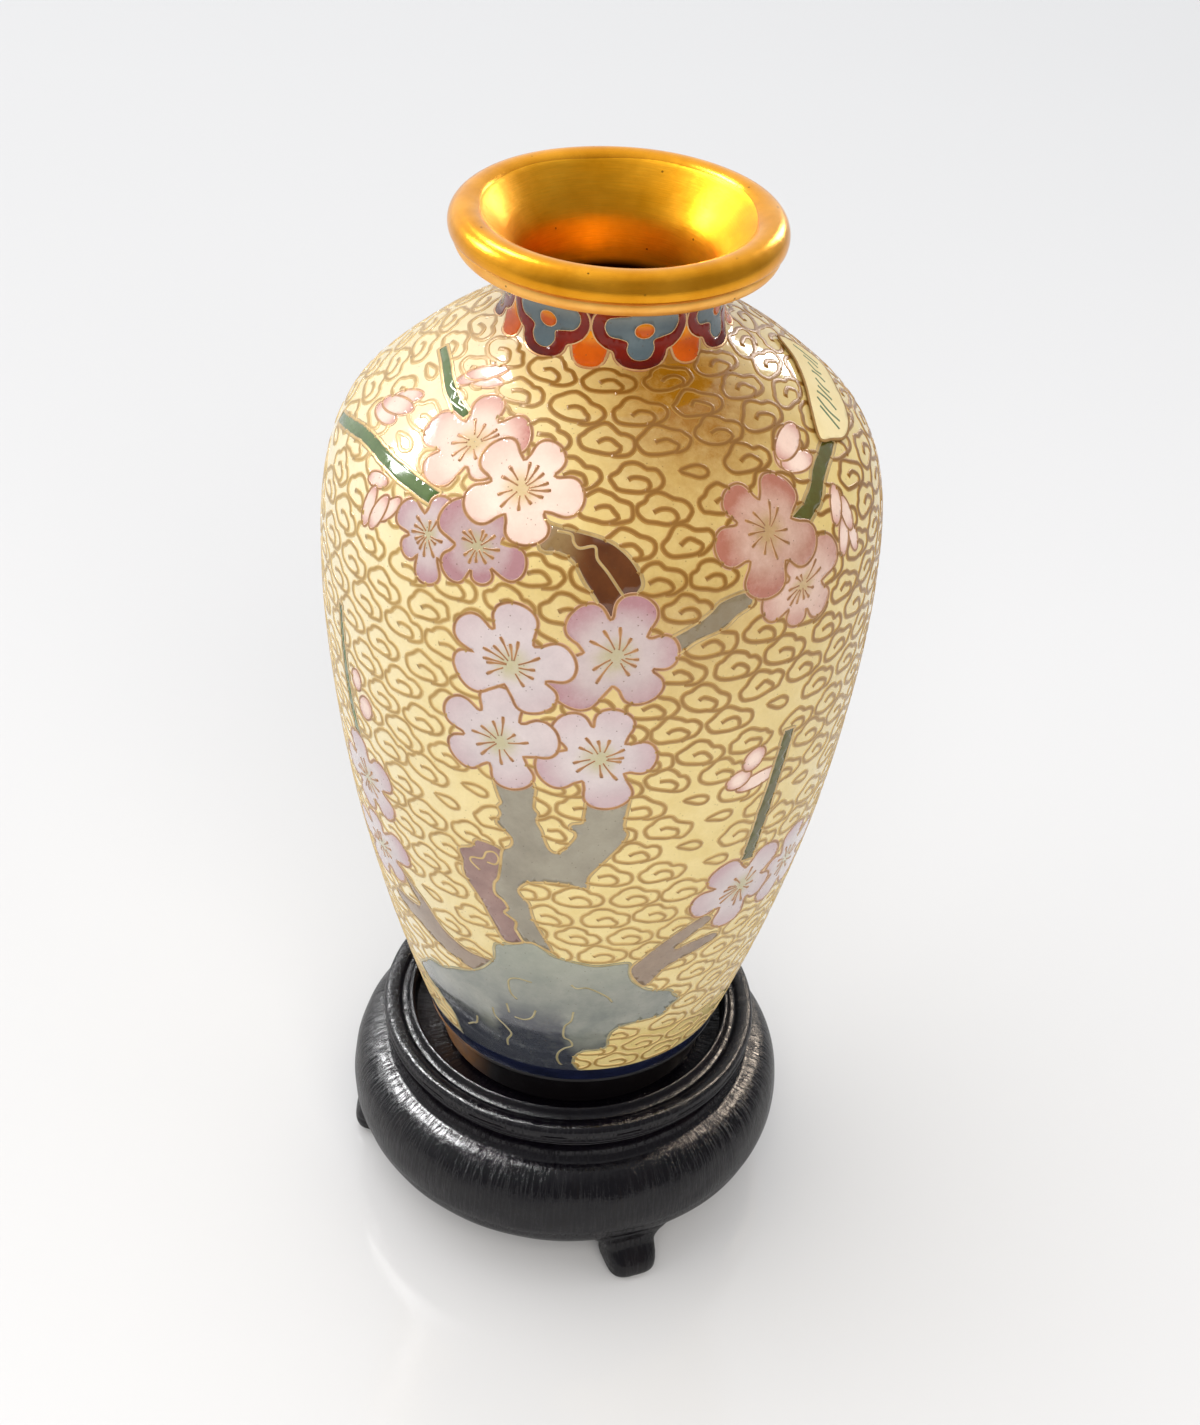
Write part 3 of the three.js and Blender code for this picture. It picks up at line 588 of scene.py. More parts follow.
def twig_shade(where):
    """Olive on the right of the vase, and green on the left."""
    return columns(np.where(where[:, 0] > 0, 0.95, 0.15), 0.0, 0.0)


# ---------- materials ----------
def paint(code):
    """A linear colour from a six-figure screen colour."""
    parts = [int(code[i:i + 2], 16) / 255 for i in (0, 2, 4)]
    return tuple(c / 12.92 if c <= 0.04045 else ((c + 0.055) / 1.055) ** 2.4 for c in parts) + (1.0,)


class Shader:
    """A node material with one Principled surface, and short names for what feeds it."""

    def __init__(self, name, **surface):
        self.material = bpy.data.materials.new(name)
        self.material.use_nodes = True
        self.tree = self.material.node_tree
        self.tree.nodes.clear()
        self.skin = self.node("ShaderNodeBsdfPrincipled")
        out = self.node("ShaderNodeOutputMaterial")
        self.link(self.skin.outputs[0], out.inputs["Surface"])
        self.place = self.node("ShaderNodeTexCoord").outputs["Object"]
        self.dress(**surface)

    def node(self, kind, inputs=(), **settings):
        """A node with its settings made and its inputs fed, by their names or places."""
        node = self.tree.nodes.new(kind)
        for key, value in settings.items():
            setattr(node, key, value)
        for key, value in dict(inputs).items():
            self.feed(node.inputs[key], value)
        return node

    def link(self, source, target):
        self.tree.links.new(source, target)

    def feed(self, socket, value):
        if isinstance(value, bpy.types.NodeSocket):
            self.link(value, socket)
        else:
            socket.default_value = value

    def dress(self, **surface):
        """Feeds the surface's sockets; an underscore stands for a space in a socket's name."""
        for name, value in surface.items():
            self.feed(self.skin.inputs[name.replace("_", " ")], value)
        return self.material

    def noise(self, scale, detail=3.0, roughness=0.5, place=None, distortion=0.0):
        return self.node("ShaderNodeTexNoise", {
            "Vector": place or self.place, "Scale": scale, "Detail": detail, "Roughness": roughness,
            "Distortion": distortion}).outputs["Fac"]

    def patches(self, scale, detail, roughness, low, high):
        """Noise spread out into patches: 0 below one value and 1 above the other."""
        return self.ramp(self.noise(scale, detail, roughness), [(low, 0), (high, 1)])

    def spots(self, scale, size):
        """Small round spots scattered at random: 1 in a spot and 0 outside."""
        node = self.node("ShaderNodeTexVoronoi", {"Vector": self.place, "Scale": scale})
        return self.ramp(node.outputs["Distance"], [(0.0, 1), (size, 1), (size * 1.6, 0)])

    def ramp(self, value, stops):
        node = self.node("ShaderNodeValToRGB", {"Fac": value})
        points = node.color_ramp.elements
        while len(points) < len(stops):
            points.new(1.0)
        for point, (at, colour) in zip(points, stops):
            point.position = at
            point.color = colour if isinstance(colour, tuple) else (colour, colour, colour, 1)
        return node.outputs["Color"]

    def mix(self, factor, first, second, blend="MIX"):
        inputs = {0: factor, 6: first, 7: second}
        return self.node("ShaderNodeMix", inputs, data_type="RGBA", blend_type=blend).outputs[2]

    def math(self, operation, first, second=0.0):
        return self.node("ShaderNodeMath", {0: first, 1: second}, operation=operation).outputs[0]

    def span(self, value, low, high):
        """Turns a 0 to 1 value into one from low to high."""
        inputs = {"Value": value, "To Min": low, "To Max": high}
        return self.node("ShaderNodeMapRange", inputs).outputs["Result"]

    def bump(self, height, distance, strength=1.0, after=None):
        inputs = {"Strength": strength, "Distance": distance, "Height": height}
        if after is not None:
            inputs["Normal"] = after
        return self.node("ShaderNodeBump", inputs).outputs["Normal"]

    def attribute(self, name):
        node = self.node("ShaderNodeAttribute", attribute_name=name)
        return self.node("ShaderNodeSeparateColor", {"Color": node.outputs["Color"]}).outputs

    def along(self, axis, low, high):
        """How far a place lies from one value to another along X, Y or Z (0, 1 or 2), from 0 to 1."""
        split = self.node("ShaderNodeSeparateXYZ", {0: self.place})
        inputs = {"Value": split.outputs[axis], "From Min": low, "From Max": high}
        return self.node("ShaderNodeMapRange", inputs, interpolation_type="SMOOTHSTEP").outputs["Result"]

    def turned_place(self, per_turn, per_metre, per_radius):
        """A place measured round the axis, up it and out from it, for streaks on a turned piece."""
        x, y, z = self.node("ShaderNodeSeparateXYZ", {0: self.place}).outputs
        angle = self.math("ARCTAN2", x, y)
        radius = self.math("SQRT", self.math("ADD", self.math("MULTIPLY", x, x), self.math("MULTIPLY", y, y)))
        scaled = {i: self.math("MULTIPLY", value, per)
                  for i, (value, per) in enumerate(((angle, per_turn), (z, per_metre), (radius, per_radius)))}
        return self.node("ShaderNodeCombineXYZ", scaled).outputs[0]


def enamel(name, base, deep, tint=None, heart=None, dark=None, pits=0.5, gloss=0.08, polish=1.0):
    """Fired and polished glass: mottled colour, pinholes, and a slightly uneven gloss."""
    s = Shader(name, IOR=1.55, Coat_Weight=0.25 * polish, Coat_Roughness=0.04,
               Specular_IOR_Level=0.5 * polish)
    colour = s.mix(s.patches(150, 5, 0.62, 0.32, 0.68), paint(base), paint(deep))
    red, green, blue = s.attribute("shade")[:3]
    wander = s.span(s.noise(420, 4, 0.75), 0.55, 1.45)
    for share, code in ((red, tint), (green, heart), (blue, dark)):
        if code is not None:
            colour = s.mix(s.math("MULTIPLY", share, wander), colour, paint(code))
    colour = s.mix(1.0, colour, s.span(s.noise(2300, 3, 0.6), 0.93, 1.05), "MULTIPLY")
    pit = s.spots(820, 0.07)
    wavy = s.bump(s.noise(95, 2), 0.00022)
    return s.dress(Base_Color=s.mix(s.math("MULTIPLY", pit, pits), colour, paint("5A4326")),
                   Roughness=s.span(s.noise(260, 4), gloss * 0.7, gloss * 1.6),
                   Normal=s.bump(s.math("SUBTRACT", s.noise(1500, 2), pit), 0.000012, 0.7, wavy))


def wire_metal(name, code, deep, stained, metallic, roughness, shoulder=None):
    """Soft copper wire, gilded and rubbed down flush, with the stained glass that clings to its sides.
    Towards the shoulder at the front and right a painted shade darkens it, given as (metal, stained glass)
    colours."""
    s = Shader(name, IOR=1.55, Coat_Weight=0.15, Coat_Roughness=0.08)
    bare = s.attribute("shade")[0]
    metal = s.mix(s.patches(380, 4, 0.6, 0.3, 0.7), paint(code), paint(deep))
    glass = paint(stained)
    if shoulder is not None:
        # painted shade: darker high up at the front and right
        high = s.math("MULTIPLY", s.along(2, 0.075, 0.17), s.along(0, -0.03, 0.004))
        metal, glass = s.mix(high, metal, paint(shoulder[0])), s.mix(high, glass, paint(shoulder[1]))
    return s.dress(Base_Color=s.mix(s.math("POWER", bare, 0.8), glass, metal),
                   Metallic=s.math("MULTIPLY", bare, metallic),
                   Roughness=s.span(s.noise(900, 3), roughness * 0.8, roughness * 1.3),
                   Normal=s.bump(s.noise(2600, 2), 0.00002, 0.6))


def gilt(name, code, deep, roughness, brushed, metallic, shaded_below=None):
    """Gilded metal with brush lines running round it, small dents and rubbed patches. Below a given height in
    metres it is darkened by a painted shade, as deep down a hollow."""
    s = Shader(name, Metallic=metallic, Specular_IOR_Level=0.2)
    lines = s.noise(1.0, 4, 0.6, s.turned_place(5.0, 5200.0, 5200.0))
    colour = s.mix(s.patches(120, 4, 0.6, 0.35, 0.7), paint(code), paint(deep))
    colour = s.mix(1.0, colour, s.span(lines, 1.0 - 0.25 * brushed, 1.0 + 0.15 * brushed), "MULTIPLY")
    colour = s.mix(s.math("MULTIPLY", s.spots(330, 0.045), 0.75), colour, paint("3A2408"))
    if shaded_below is not None:
        # painted shade deep down the throat
        colour = s.mix(s.along(2, shaded_below, shaded_below - 0.0016), colour, paint("2A1005"))
    uneven = s.span(s.noise(300, 3), roughness * 0.75, roughness * 1.2)
    dents = s.bump(s.noise(160, 3), 0.00016, 0.8)
    return s.dress(Base_Color=colour, Normal=s.bump(lines, 0.00003, brushed, dents),
                   Roughness=s.math("ADD", uneven, s.math("MULTIPLY", lines, 0.12 * brushed)))


def tarnished_shaded_gilt(name):
    """The foot's gilding, rubbed and tarnished, with a painted shade making it nearly black except at the
    left front, where it is left bright as if lit.
    """
    s = Shader(name)
    wear = s.patches(260, 4, 0.65, 0.35, 0.65)
    # painted light and shade: bright only at the left front
    bright = s.math("MULTIPLY", s.along(0, -0.013, -0.024), s.span(wear, 0.35, 1.0))
    return s.dress(Base_Color=s.mix(bright, paint("0D0A0C"), paint("B98048")),
                   Metallic=s.math("MULTIPLY", bright, 0.8), Roughness=s.span(wear, 0.35, 0.55),
                   Normal=s.bump(s.noise(700, 3), 0.00005, 0.7))


def lacquer(name):
    """Black lacquer over turned hardwood: the grain's pores show as short upright streaks."""
    s = Shader(name, Coat_Weight=0.5, Coat_IOR=1.65, Coat_Roughness=0.045, Specular_IOR_Level=0.0)
    grain = s.noise(1.0, 5, 0.7, s.turned_place(62.0, 150.0, 150.0), 0.8)
    rings = s.noise(1.0, 3, 0.5, s.turned_place(3.0, 1500.0, 1500.0))
    brown = s.ramp(s.noise(70, 4), [(0.3, paint("07050B")), (0.62, paint("0A080D")),
                                    (0.8, paint("140E11"))])
    pores = s.ramp(grain, [(0.36, 0), (0.48, 0.7), (0.66, 1)])
    soft = s.bump(rings, 0.00004, 0.5)
    brushed = s.bump(s.noise(240, 4, 0.6), 0.0002, 0.9, soft)
    skin = s.bump(pores, 0.0001, 0.9, brushed)
    return s.dress(Base_Color=s.mix(s.ramp(grain, [(0.58, 0), (0.8, 1)]), brown, paint("191310")),
                   Roughness=s.span(grain, 0.2, 0.45), Normal=skin, Coat_Normal=skin)


def sheet_copper(name):
    s = Shader(name, Metallic=1.0)
    tarnish = s.patches(110, 5, 0.65, 0.3, 0.7)
    return s.dress(Base_Color=s.mix(tarnish, paint("A8683C"), paint("5E3520")),
                   Roughness=s.span(tarnish, 0.35, 0.6), Normal=s.bump(s.noise(500, 3), 0.00006, 0.7))


def label_paper(name):
    s = Shader(name)
    fibre = s.noise(1600, 5, 0.7)
    aged = s.ramp(s.noise(130, 4), [(0.3, paint("F2E2B2")), (0.7, paint("E6D29A"))])
    return s.dress(Base_Color=s.mix(1.0, aged, s.span(fibre, 0.94, 1.04), "MULTIPLY"),
                   Roughness=s.span(fibre, 0.6, 0.85), Normal=s.bump(fibre, 0.00003, 0.8))


def ink_and_shadow(name, code, deep):
    """Ink soaked into paper; also the painted shadow along a paper label's edge."""
    s = Shader(name)
    return s.dress(Base_Color=s.mix(s.noise(700, 4), paint(code), paint(deep)),
                   Roughness=s.span(s.noise(900, 3), 0.6, 0.8))


# on the cream, heart is a painted light down the left, and dark is a painted amber shade at the right front
# and under the neck
CREAM = enamel("enamel_cream", "EDD897", "E2CA82", heart="FBF0CE", dark="98660F", pits=0.4)
# the dark colours of the lilac and pink glass are the painted shade on blossoms
LILAC = enamel("enamel_lilac", "D8CBCA", "C8BABB", tint="B4848F", heart="BEB590", dark="8A6E58", pits=0.55)
PINK = enamel("enamel_pink", "F7DFD0", "EECFC0", tint="BC786E", heart="CFB685", dark="8E5A34", pits=0.5)
BARK = enamel("enamel_bark", "A29C8A", "8B8474", tint="7D6C4E", pits=0.5)
BROWN = enamel("enamel_brown", "6A3A12", "4E2608", tint="8C7148", pits=0.4)
ROOT = enamel("enamel_root", "A08076", "83625A", pits=0.5)
LIMB = enamel("enamel_limb", "A08B76", "86705C", pits=0.5)
ROCK_GLASS = enamel("enamel_rock", "94958A", "6E746C", tint="A3A695", dark="3B3E46", pits=0.5)
GREEN = enamel("enamel_green", "67824A", "4A6636", tint="544F1A", pits=0.5)
NAVY = enamel("enamel_navy", "1D2340", "131729", pits=0.2)
RED = enamel("enamel_red", "86200A", "620F04", tint="A23A1C", dark="3A0904", pits=0.4, polish=0.45)
ORANGE = enamel("enamel_orange", "D86206", "B04602", tint="F29A10", pits=0.5, polish=0.45)
SLATE = enamel("enamel_slate", "64757C", "4E5D66", tint="969F9A", pits=0.4, polish=0.6)
COUNTER_BLUE = enamel("counter_enamel", "2A4C72", "1C3858", pits=0.6, gloss=0.3)
# the last two colours of the brown wire are the painted shade on the shoulder
WIRE_BROWN = wire_metal("wire_brown", "BE9A56", "A4803E", "DEC386", 0.15, 0.36, ("8A5E1E", "AE8238"))
WIRE_ROSE = wire_metal("wire_rose", "B4844E", "8E6038", "CBA288", 0.3, 0.34)
WIRE_GOLD = wire_metal("wire_gold", "DDBE82", "B8955A", "9F8B66", 0.5, 0.3)
WIRE_STONE = wire_metal("wire_stone", "C8BA8E", "A08F60", "80826F", 0.4, 0.3)
WIRE_PALE = wire_metal("wire_pale", "EAC690", "C89860", "94482A", 0.5, 0.3)
GILT_RIM = gilt("gilt_rim", "EEA428", "D48A12", 0.21, 0.35, 0.84)
# the lip band's paler gold is partly its own colour and partly a painted reflection of the pale surroundings
GILT_LIP = gilt("gilt_lip", "FFC468", "F0A846", 0.34, 0.35, 0.66)
GILT_THROAT = gilt("gilt_throat", "FCB22A", "EA9C14", 0.34, 0.8, 0.92, shaded_below=0.1776)
GILT_TARNISH_AND_SHADE = tarnished_shaded_gilt("gilt_tarnish_and_shade")
LACQUER = lacquer("lacquered_wood")
COPPER = sheet_copper("copper")
PAPER = label_paper("label_paper")
INK = ink_and_shadow("faded_ink", "3E5C42", "7E8E66")
EDGE_SHADOW = ink_and_shadow("painted_edge_shadow", "7A5424", "A98346")


# ---------- the picture's pieces ----------
WIRE_WIDTH = 0.31
FINE_WIRE = 0.23
STAMEN_WIRE = 0.19
FINE_STEP = 0.3        # mm between the points of a fine wire
SMALL_SPACING = 0.8    # mm between the points inside buds and neck cells
hidden_by = []         # outlines of the pieces already laid, which lie in front of the next ones


def lay_wires(name, parts, metal):
    verts, faces = merge(parts)
    piece(name, verts, faces, metal, shade=wire_shade(verts))


def picture_piece(name, outline, glass, metal, shade, spacing=1.5, extra=None):
    """One picture piece: its enamel and its wires, cut back where other pieces lie in front."""
    cutters = near(outline, hidden_by)
    verts, faces, where = fill(outline, cutters, spacing)
    piece(f"{name}_enamel", verts, faces, glass, [name], shade(where))
    parts = wires([(outline, True)], WIRE_WIDTH, cutters)
    inner = [(spline(line, 8), False) for line in INNER_WIRES.get(name, ())]
    parts += wires(inner, FINE_WIRE, cutters, FINE_STEP)
    if extra is not None:
        parts += extra(cutters)
    lay_wires(f"{name}_wire", parts, metal)
    hidden_by.append(outline)


STAMEN_WIDTHS = np.array([0.75, 0.8, 0.85, 0.9, 1.0, 1.5, 1.75, 1.3])
STAMEN_PAIR, STAMEN_TRIO = (-15, 14), (-20, 1, 19)     # how far they lean from a petal's middle
PAIR_SHARE = 0.7       # how many of the petals have a pair
STAMEN_BEND = 6        # degrees from a stamen's start to its end


def stamens(middle, petals, seed):
    """Strokes of wire that fan from the heart of a blossom, each ending in a small knob."""
    rng = random.Random(seed)

    def lay(cutters):
        parts = []
        for direction, reach, _ in petals:
            for lean in STAMEN_PAIR if rng.random() < PAIR_SHARE else STAMEN_TRIO:
                a = direction + lean + rng.uniform(-4, 4)
                start, end = rng.uniform(0.07, 0.16), rng.uniform(0.34, 0.5)
                polar = [(a + STAMEN_BEND * t, reach * (start + (end - start) * t))
                         for t in np.linspace(0, 1, len(STAMEN_WIDTHS))]
                line = around(middle, polar)
                if not covered(line, near(line, cutters)).any():
                    parts.append(ribbon(line, STAMEN_WIRE, widths=STAMEN_WIDTHS, lift=0.02))
        return parts
    return lay


for number, (key, (middle, *petals)) in enumerate(BLOSSOMS.items()):
    pink = key in PINK_BLOSSOMS
    picture_piece(
        f"blossom_{key}", blossom_outline(middle, petals),
        PINK if pink else LILAC, WIRE_ROSE,
        lambda where: blossom_shade(middle, petals, *DUSK_AND_SHADE.get(key, (0.0, 0.0)), where),
        spacing=1.0, extra=stamens(middle, petals, number))

TRUNK = TRUNK_LEFT + TRUNK_DIVIDER[1:] + TRUNK_RIGHT + TRUNK_FORK
TRUNK_ROOT = ROOT_LEFT + TRUNK_DIVIDER[::-1]
for key, points, steps, slot, glass, metal, shade in (
        ("trunk", TRUNK, 3, "enamel_bark", BARK, WIRE_GOLD, plain_shade(0.15)),
        ("trunk_root", TRUNK_ROOT, 3, "enamel_root", ROOT, WIRE_GOLD, plain_shade()),
        ("rock", ROCK, 3, "enamel_rock", ROCK_GLASS, WIRE_STONE, rock_shade),
        ("upper_branch", UPPER_BRANCH, 4, "enamel_brown", BROWN, WIRE_GOLD, upper_branch_shade),
        ("side_branch", SIDE_BRANCH, 3, "enamel_bark", BARK, WIRE_GOLD, plain_shade(0.8)),
        ("left_branch", LEFT_BRANCH, 4, "enamel_root", LIMB, WIRE_GOLD, plain_shade()),
        ("right_branch", RIGHT_BRANCH, 4, "enamel_root", LIMB, WIRE_GOLD, plain_shade())):
    picture_piece(key, smooth_outline(points, steps), glass, metal, shade)
picture_piece("back_branch", strip(BACK_BRANCH, 5.0, 3.0, wander=0.25, seed=3), BROWN,
              WIRE_GOLD, plain_shade(0.5))
for number, (key, (line, widths)) in enumerate(TWIGS.items()):
    picture_piece(key, strip(line, *widths, wander=0.06, seed=number), GREEN, WIRE_GOLD,
                  twig_shade)


def bud(name, ovals):
    """A bud: a few petals, each in its own wire, the first in front."""
    glass, metal, shades = [], [], []
    for middle, long, short, lean in ovals:
        edge = oval(middle, long, short, lean)
        cutters = near(edge, hidden_by)
        verts, faces, where = fill(edge, cutters, SMALL_SPACING)
        glass.append((verts, faces))
        k = mm_per_degree(middle[1])
        away = np.hypot((where[:, 0] - middle[0]) * k, where[:, 1] - middle[1]) / (long / 2)
        shades.append(columns(0.75 * smoothstep(0.3, 1.0, away), 0.0, 0.0))
        metal += wires([(edge, True)], FINE_WIRE, cutters, FINE_STEP)
        hidden_by.append(edge)
    verts, faces = merge(glass)
    piece(f"{name}_enamel", verts, faces, PINK, [name], np.vstack(shades))
    lay_wires(f"{name}_wire", metal, WIRE_ROSE)


for key, ovals in BUDS.items():
    bud(key, ovals)


# ---------- the cloud ground ----------
# one bent wire: it starts inside the cell, curls down to the base, and runs round the cloud's lobes
CLOUD = np.array([
    (-0.17, -0.07), (-0.06, -0.01), (0.07, -0.01), (0.18, -0.07), (0.24, -0.16), (0.20, -0.25),
    (0.06, -0.29), (-0.14, -0.29), (-0.34, -0.26), (-0.46, -0.17), (-0.50, -0.04), (-0.45, 0.06),
    (-0.36, 0.12), (-0.28, 0.22), (-0.15, 0.29), (0, 0.28), (0.12, 0.21), (0.21, 0.14), (0.34, 0.12),
    (0.45, 0.05), (0.50, -0.06), (0.46, -0.18), (0.36, -0.26), (0.22, -0.29), (0.10, -0.30),
])
DROP = np.array([
    (-0.5, 0.04), (-0.2, 0.18), (0.14, 0.22), (0.42, 0.08), (0.42, -0.12), (0.16, -0.22), (-0.16, -0.12),
])
CLOUD_PITCH = 8.5      # mm between clouds along a row
CLOUD_ROW = 4.95       # mm between rows
CLOUD_SPAN = 7.7       # mm across one cloud
CLOUD_CLIMBS = (6.6, 147.5)
DROP_SHARE = 0.06      # how many of the clouds are drops instead
DROP_SIZE = 0.58       # a drop's size beside a cloud's
CLOUD_WIRE = 0.42
CLOUD_WIRE_PIECES = 5  # the wires are shared out so that none of their meshes is too large
GROUND_LIFT = -0.06
GROUND_TOP = 151.0
LAYER_DEPTH = 0.9      # of the ground and of the bands


def laid(shape, turn, climb, size, tilt, rng, closed):
    """A small wire shape set down on the face with a hand's unevenness."""
    wobble = np.array([(rng.gauss(0, 0.012), rng.gauss(0, 0.012)) for _ in shape])
    points = (shape + wobble) * size
    c, s = math.cos(tilt), math.sin(tilt)
    x = points[:, 0] * c - points[:, 1] * s
    y = points[:, 0] * s + points[:, 1] * c
    return spline(columns(turn + x / mm_per_degree(climb), climb + y), 3, closed)


def cloud_paths():
    """Rows of clouds up the whole face, with a drop here and there in a cloud's stead."""
    rng = random.Random(11)
    paths = []
    for row, climb in enumerate(np.arange(*CLOUD_CLIMBS, CLOUD_ROW)):
        count = round(360 * mm_per_degree(climb) / CLOUD_PITCH)
        for i in range(count):
            turn = (i + 0.5 * (row % 2)) * 360 / count + rng.uniform(-0.6, 0.6)
            at = climb + rng.uniform(-0.35, 0.35)
            size = CLOUD_SPAN * rng.uniform(0.93, 1.05)
            tilt = rng.gauss(-0.05, 0.10)
            if rng.random() < DROP_SHARE:
                paths.append((laid(DROP, turn, at, size * DROP_SIZE, tilt, rng, True), True))
            else:
                paths.append((laid(CLOUD, turn, at, size, tilt, rng, False), False))
    return paths


NECK_REPEATS = 7
NECK_PITCH = 360 / NECK_REPEATS
NECK_START = 14.5      # turn of the first red cell's middle
NECK_WIRE = 0.3
RED_CELL = [
    (-25.2, 153), (-22.5, 151.2), (-17.5, 150.1), (-14, 149.7), (-12.4, 148.6), (-8, 147.5), (0, 147),
    (8, 147.5), (12.4, 148.6), (14, 149.7), (17.5, 150.1), (22.5, 151.2), (25.2, 153), (23, 155.2),
    (16, 156.6), (0, 157), (-16, 156.6), (-23, 155.2),
]
SLATE_FLOWER = [
    (-18.6, 153.2), (-16, 151.9), (-10, 151.5), (-6.6, 151), (-7, 149.8), (-4.2, 148.7), (0, 148.4),
    (4.2, 148.7), (7, 149.9), (6.8, 151.2), (11, 151.6), (17.5, 152.1), (20.4, 153.6), (18, 155.2),
    (9, 155.2), (5.5, 156.3), (-1.5, 156.4), (-5, 155.2), (-12, 154.9), (-17, 154.5),
]
ORANGE_LOBE = [
    (-9.3, 150.6), (-8.2, 148.5), (-4.6, 147.3), (0, 147), (4.6, 147.3), (8.2, 148.5), (9.3, 150.6),
    (5, 151.8), (0, 152.4), (-5, 151.8),
]
FLOWER_HEART = ((1.8, 152.7), 2.9, 2.3)     # middle, width and height


def neck_cells(points, steps, start=NECK_START):
    """A cell's smooth outline, repeated round the neck."""
    return [smooth_outline(np.asarray(points, float) + (start + i * NECK_PITCH, 0.0), steps)
            for i in range(NECK_REPEATS)]


red_cells = neck_cells(RED_CELL, 5)
orange_lobes = neck_cells(ORANGE_LOBE, 5, NECK_START + NECK_PITCH / 2)
slate_flowers = neck_cells(SLATE_FLOWER, 4)
(heart_turn, heart_climb), *heart_axes = FLOWER_HEART
flower_hearts = [oval((NECK_START + i * NECK_PITCH + heart_turn, heart_climb), *heart_axes, 0, 20)
                 for i in range(NECK_REPEATS)]


def unwrapped(outlines):
    """The outlines again one turn either way, so that each covers what is drawn across the back."""
    return [o + (turn, 0.0) for o in outlines for turn in (-360, 0, 360)]


cloud_cutters = unwrapped(hidden_by + red_cells + orange_lobes)
cloud_parts = wires(cloud_paths(), CLOUD_WIRE, cloud_cutters, spacing=0.42)
for i in range(CLOUD_WIRE_PIECES):
    lay_wires(f"cloud_wire_{i + 1}", cloud_parts[i::CLOUD_WIRE_PIECES], WIRE_BROWN)

# rows of points up the ground, closer towards the neck where the face bends, and up both bands
GROUND_ROWS = np.concatenate([np.arange(3.2, 100, 1.6), np.arange(100, GROUND_TOP, 1.0), [GROUND_TOP]])
FOOT_BAND_ROWS = np.arange(0, 3.9, 0.5)
NECK_BAND_ROWS = np.arange(150.3, 158.6, 0.5)


def face_layer(climbs, lift):
    """The section of a layer that follows the face, for lathe()."""
    outer, inner = (face(np.zeros(len(climbs)), climbs, np.full(len(climbs), at))[0]
                    for at in (lift, lift - LAYER_DEPTH))
    return [(-p[1], p[2]) for p in (*outer, *inner[::-1])]


def bell(x, middle, spread):
    """1 in the middle, falling off smoothly either way."""
    return np.exp(-((x - middle) / spread) ** 2)


def ground_shade(verts):
    """The cream glass: paler down the left, a painted light where the key light falls, and more amber at the
    right front, most of all under the neck, a painted shade where the rim's shadow falls over some amber of
    the glass's own.
    """
    turn = np.degrees(np.arctan2(verts[:, 0], -verts[:, 1]))
    height = verts[:, 2]
    amber = (bell(turn, 30, 33) * bell(height, 173, 11) + 0.35 * bell(turn, 12, 24) * bell(height, 149, 11)
             + 0.22 * bell(turn, 26, 35) * bell(height, 142, 22))
    # green: painted light down the left; blue: painted amber shade, with some of the glass's own amber
    return columns(0.0, 0.65 * bell(turn, -62, 31), amber)


lathe("cloud_ground_enamel", face_layer(GROUND_ROWS, GROUND_LIFT), CREAM,
      ["cloud_ground", "cloud_panel_1", "cloud_panel_2", "cloud_panel_3"], shade=ground_shade)
lathe("foot_band", face_layer(FOOT_BAND_ROWS, 0.05), NAVY, ["foot_band_enamel"])


# ---------- the neck band ----------
def neck_glass(name, outlines, cutters, glass, lift):
    """The enamel of all the cells of one kind, outside the cutters."""
    parts, shades = [], []
    for outline in outlines:
        verts, faces, where = fill(outline, unwrapped(near(outline, cutters)), SMALL_SPACING, lift)
        parts.append((verts, faces))
        shades.append(lobe_shade(where, outline))
    verts, faces = merge(parts)
    piece(name, verts, faces, glass, shade=np.vstack(shades))


def lobe_shade(where, outline):
    """Tinted towards the top of a cell, and darker at its foot."""
    low, high = outline[:, 1].min(), outline[:, 1].max()
    up = (where[:, 1] - low) / (high - low)
    return columns(smoothstep(0.55, 0.95, up), 0.0, smoothstep(0.3, 0.0, up) * 0.6)


lathe("neck_band_backing", face_layer(NECK_BAND_ROWS, -0.05), RED,
      ["neck_band_enamel"], steps=144)
neck_glass("neck_red_cells", red_cells, slate_flowers, RED, 0.03)
neck_glass("neck_orange_lobes", orange_lobes, red_cells, ORANGE, 0.02)
neck_glass("neck_slate_flowers", slate_flowers, flower_hearts, SLATE, 0.03)
neck_glass("neck_flower_hearts", flower_hearts, [], ORANGE, 0.03)
neck_parts = wires([(o, True) for o in red_cells + slate_flowers + flower_hearts], NECK_WIRE, (), FINE_STEP)
neck_parts += wires([(o, True) for o in orange_lobes], NECK_WIRE, unwrapped(red_cells), FINE_STEP)
lay_wires("neck_wires", neck_parts, WIRE_PALE)


# ---------- gilded metal ----------
def arc(centre, radius, start, end, count):
    """Points round part of a circle, from one angle in degrees to another."""
    a = np.linspace(start, end, count) * DEGREE
    return [(centre[0] + radius * math.cos(t), centre[1] + radius * math.sin(t)) for t in a]


def hand_made(turn, z, r):
    """The slight unevenness of a rim finished by hand."""
    return 0.05 * np.sin(3 * turn + 1.0) + 0.03 * np.sin(7 * turn)


def curve(points, steps=6):
    """A smooth stretch of a profile, as a list to join to others."""
    return list(map(tuple, spline(points, steps)))


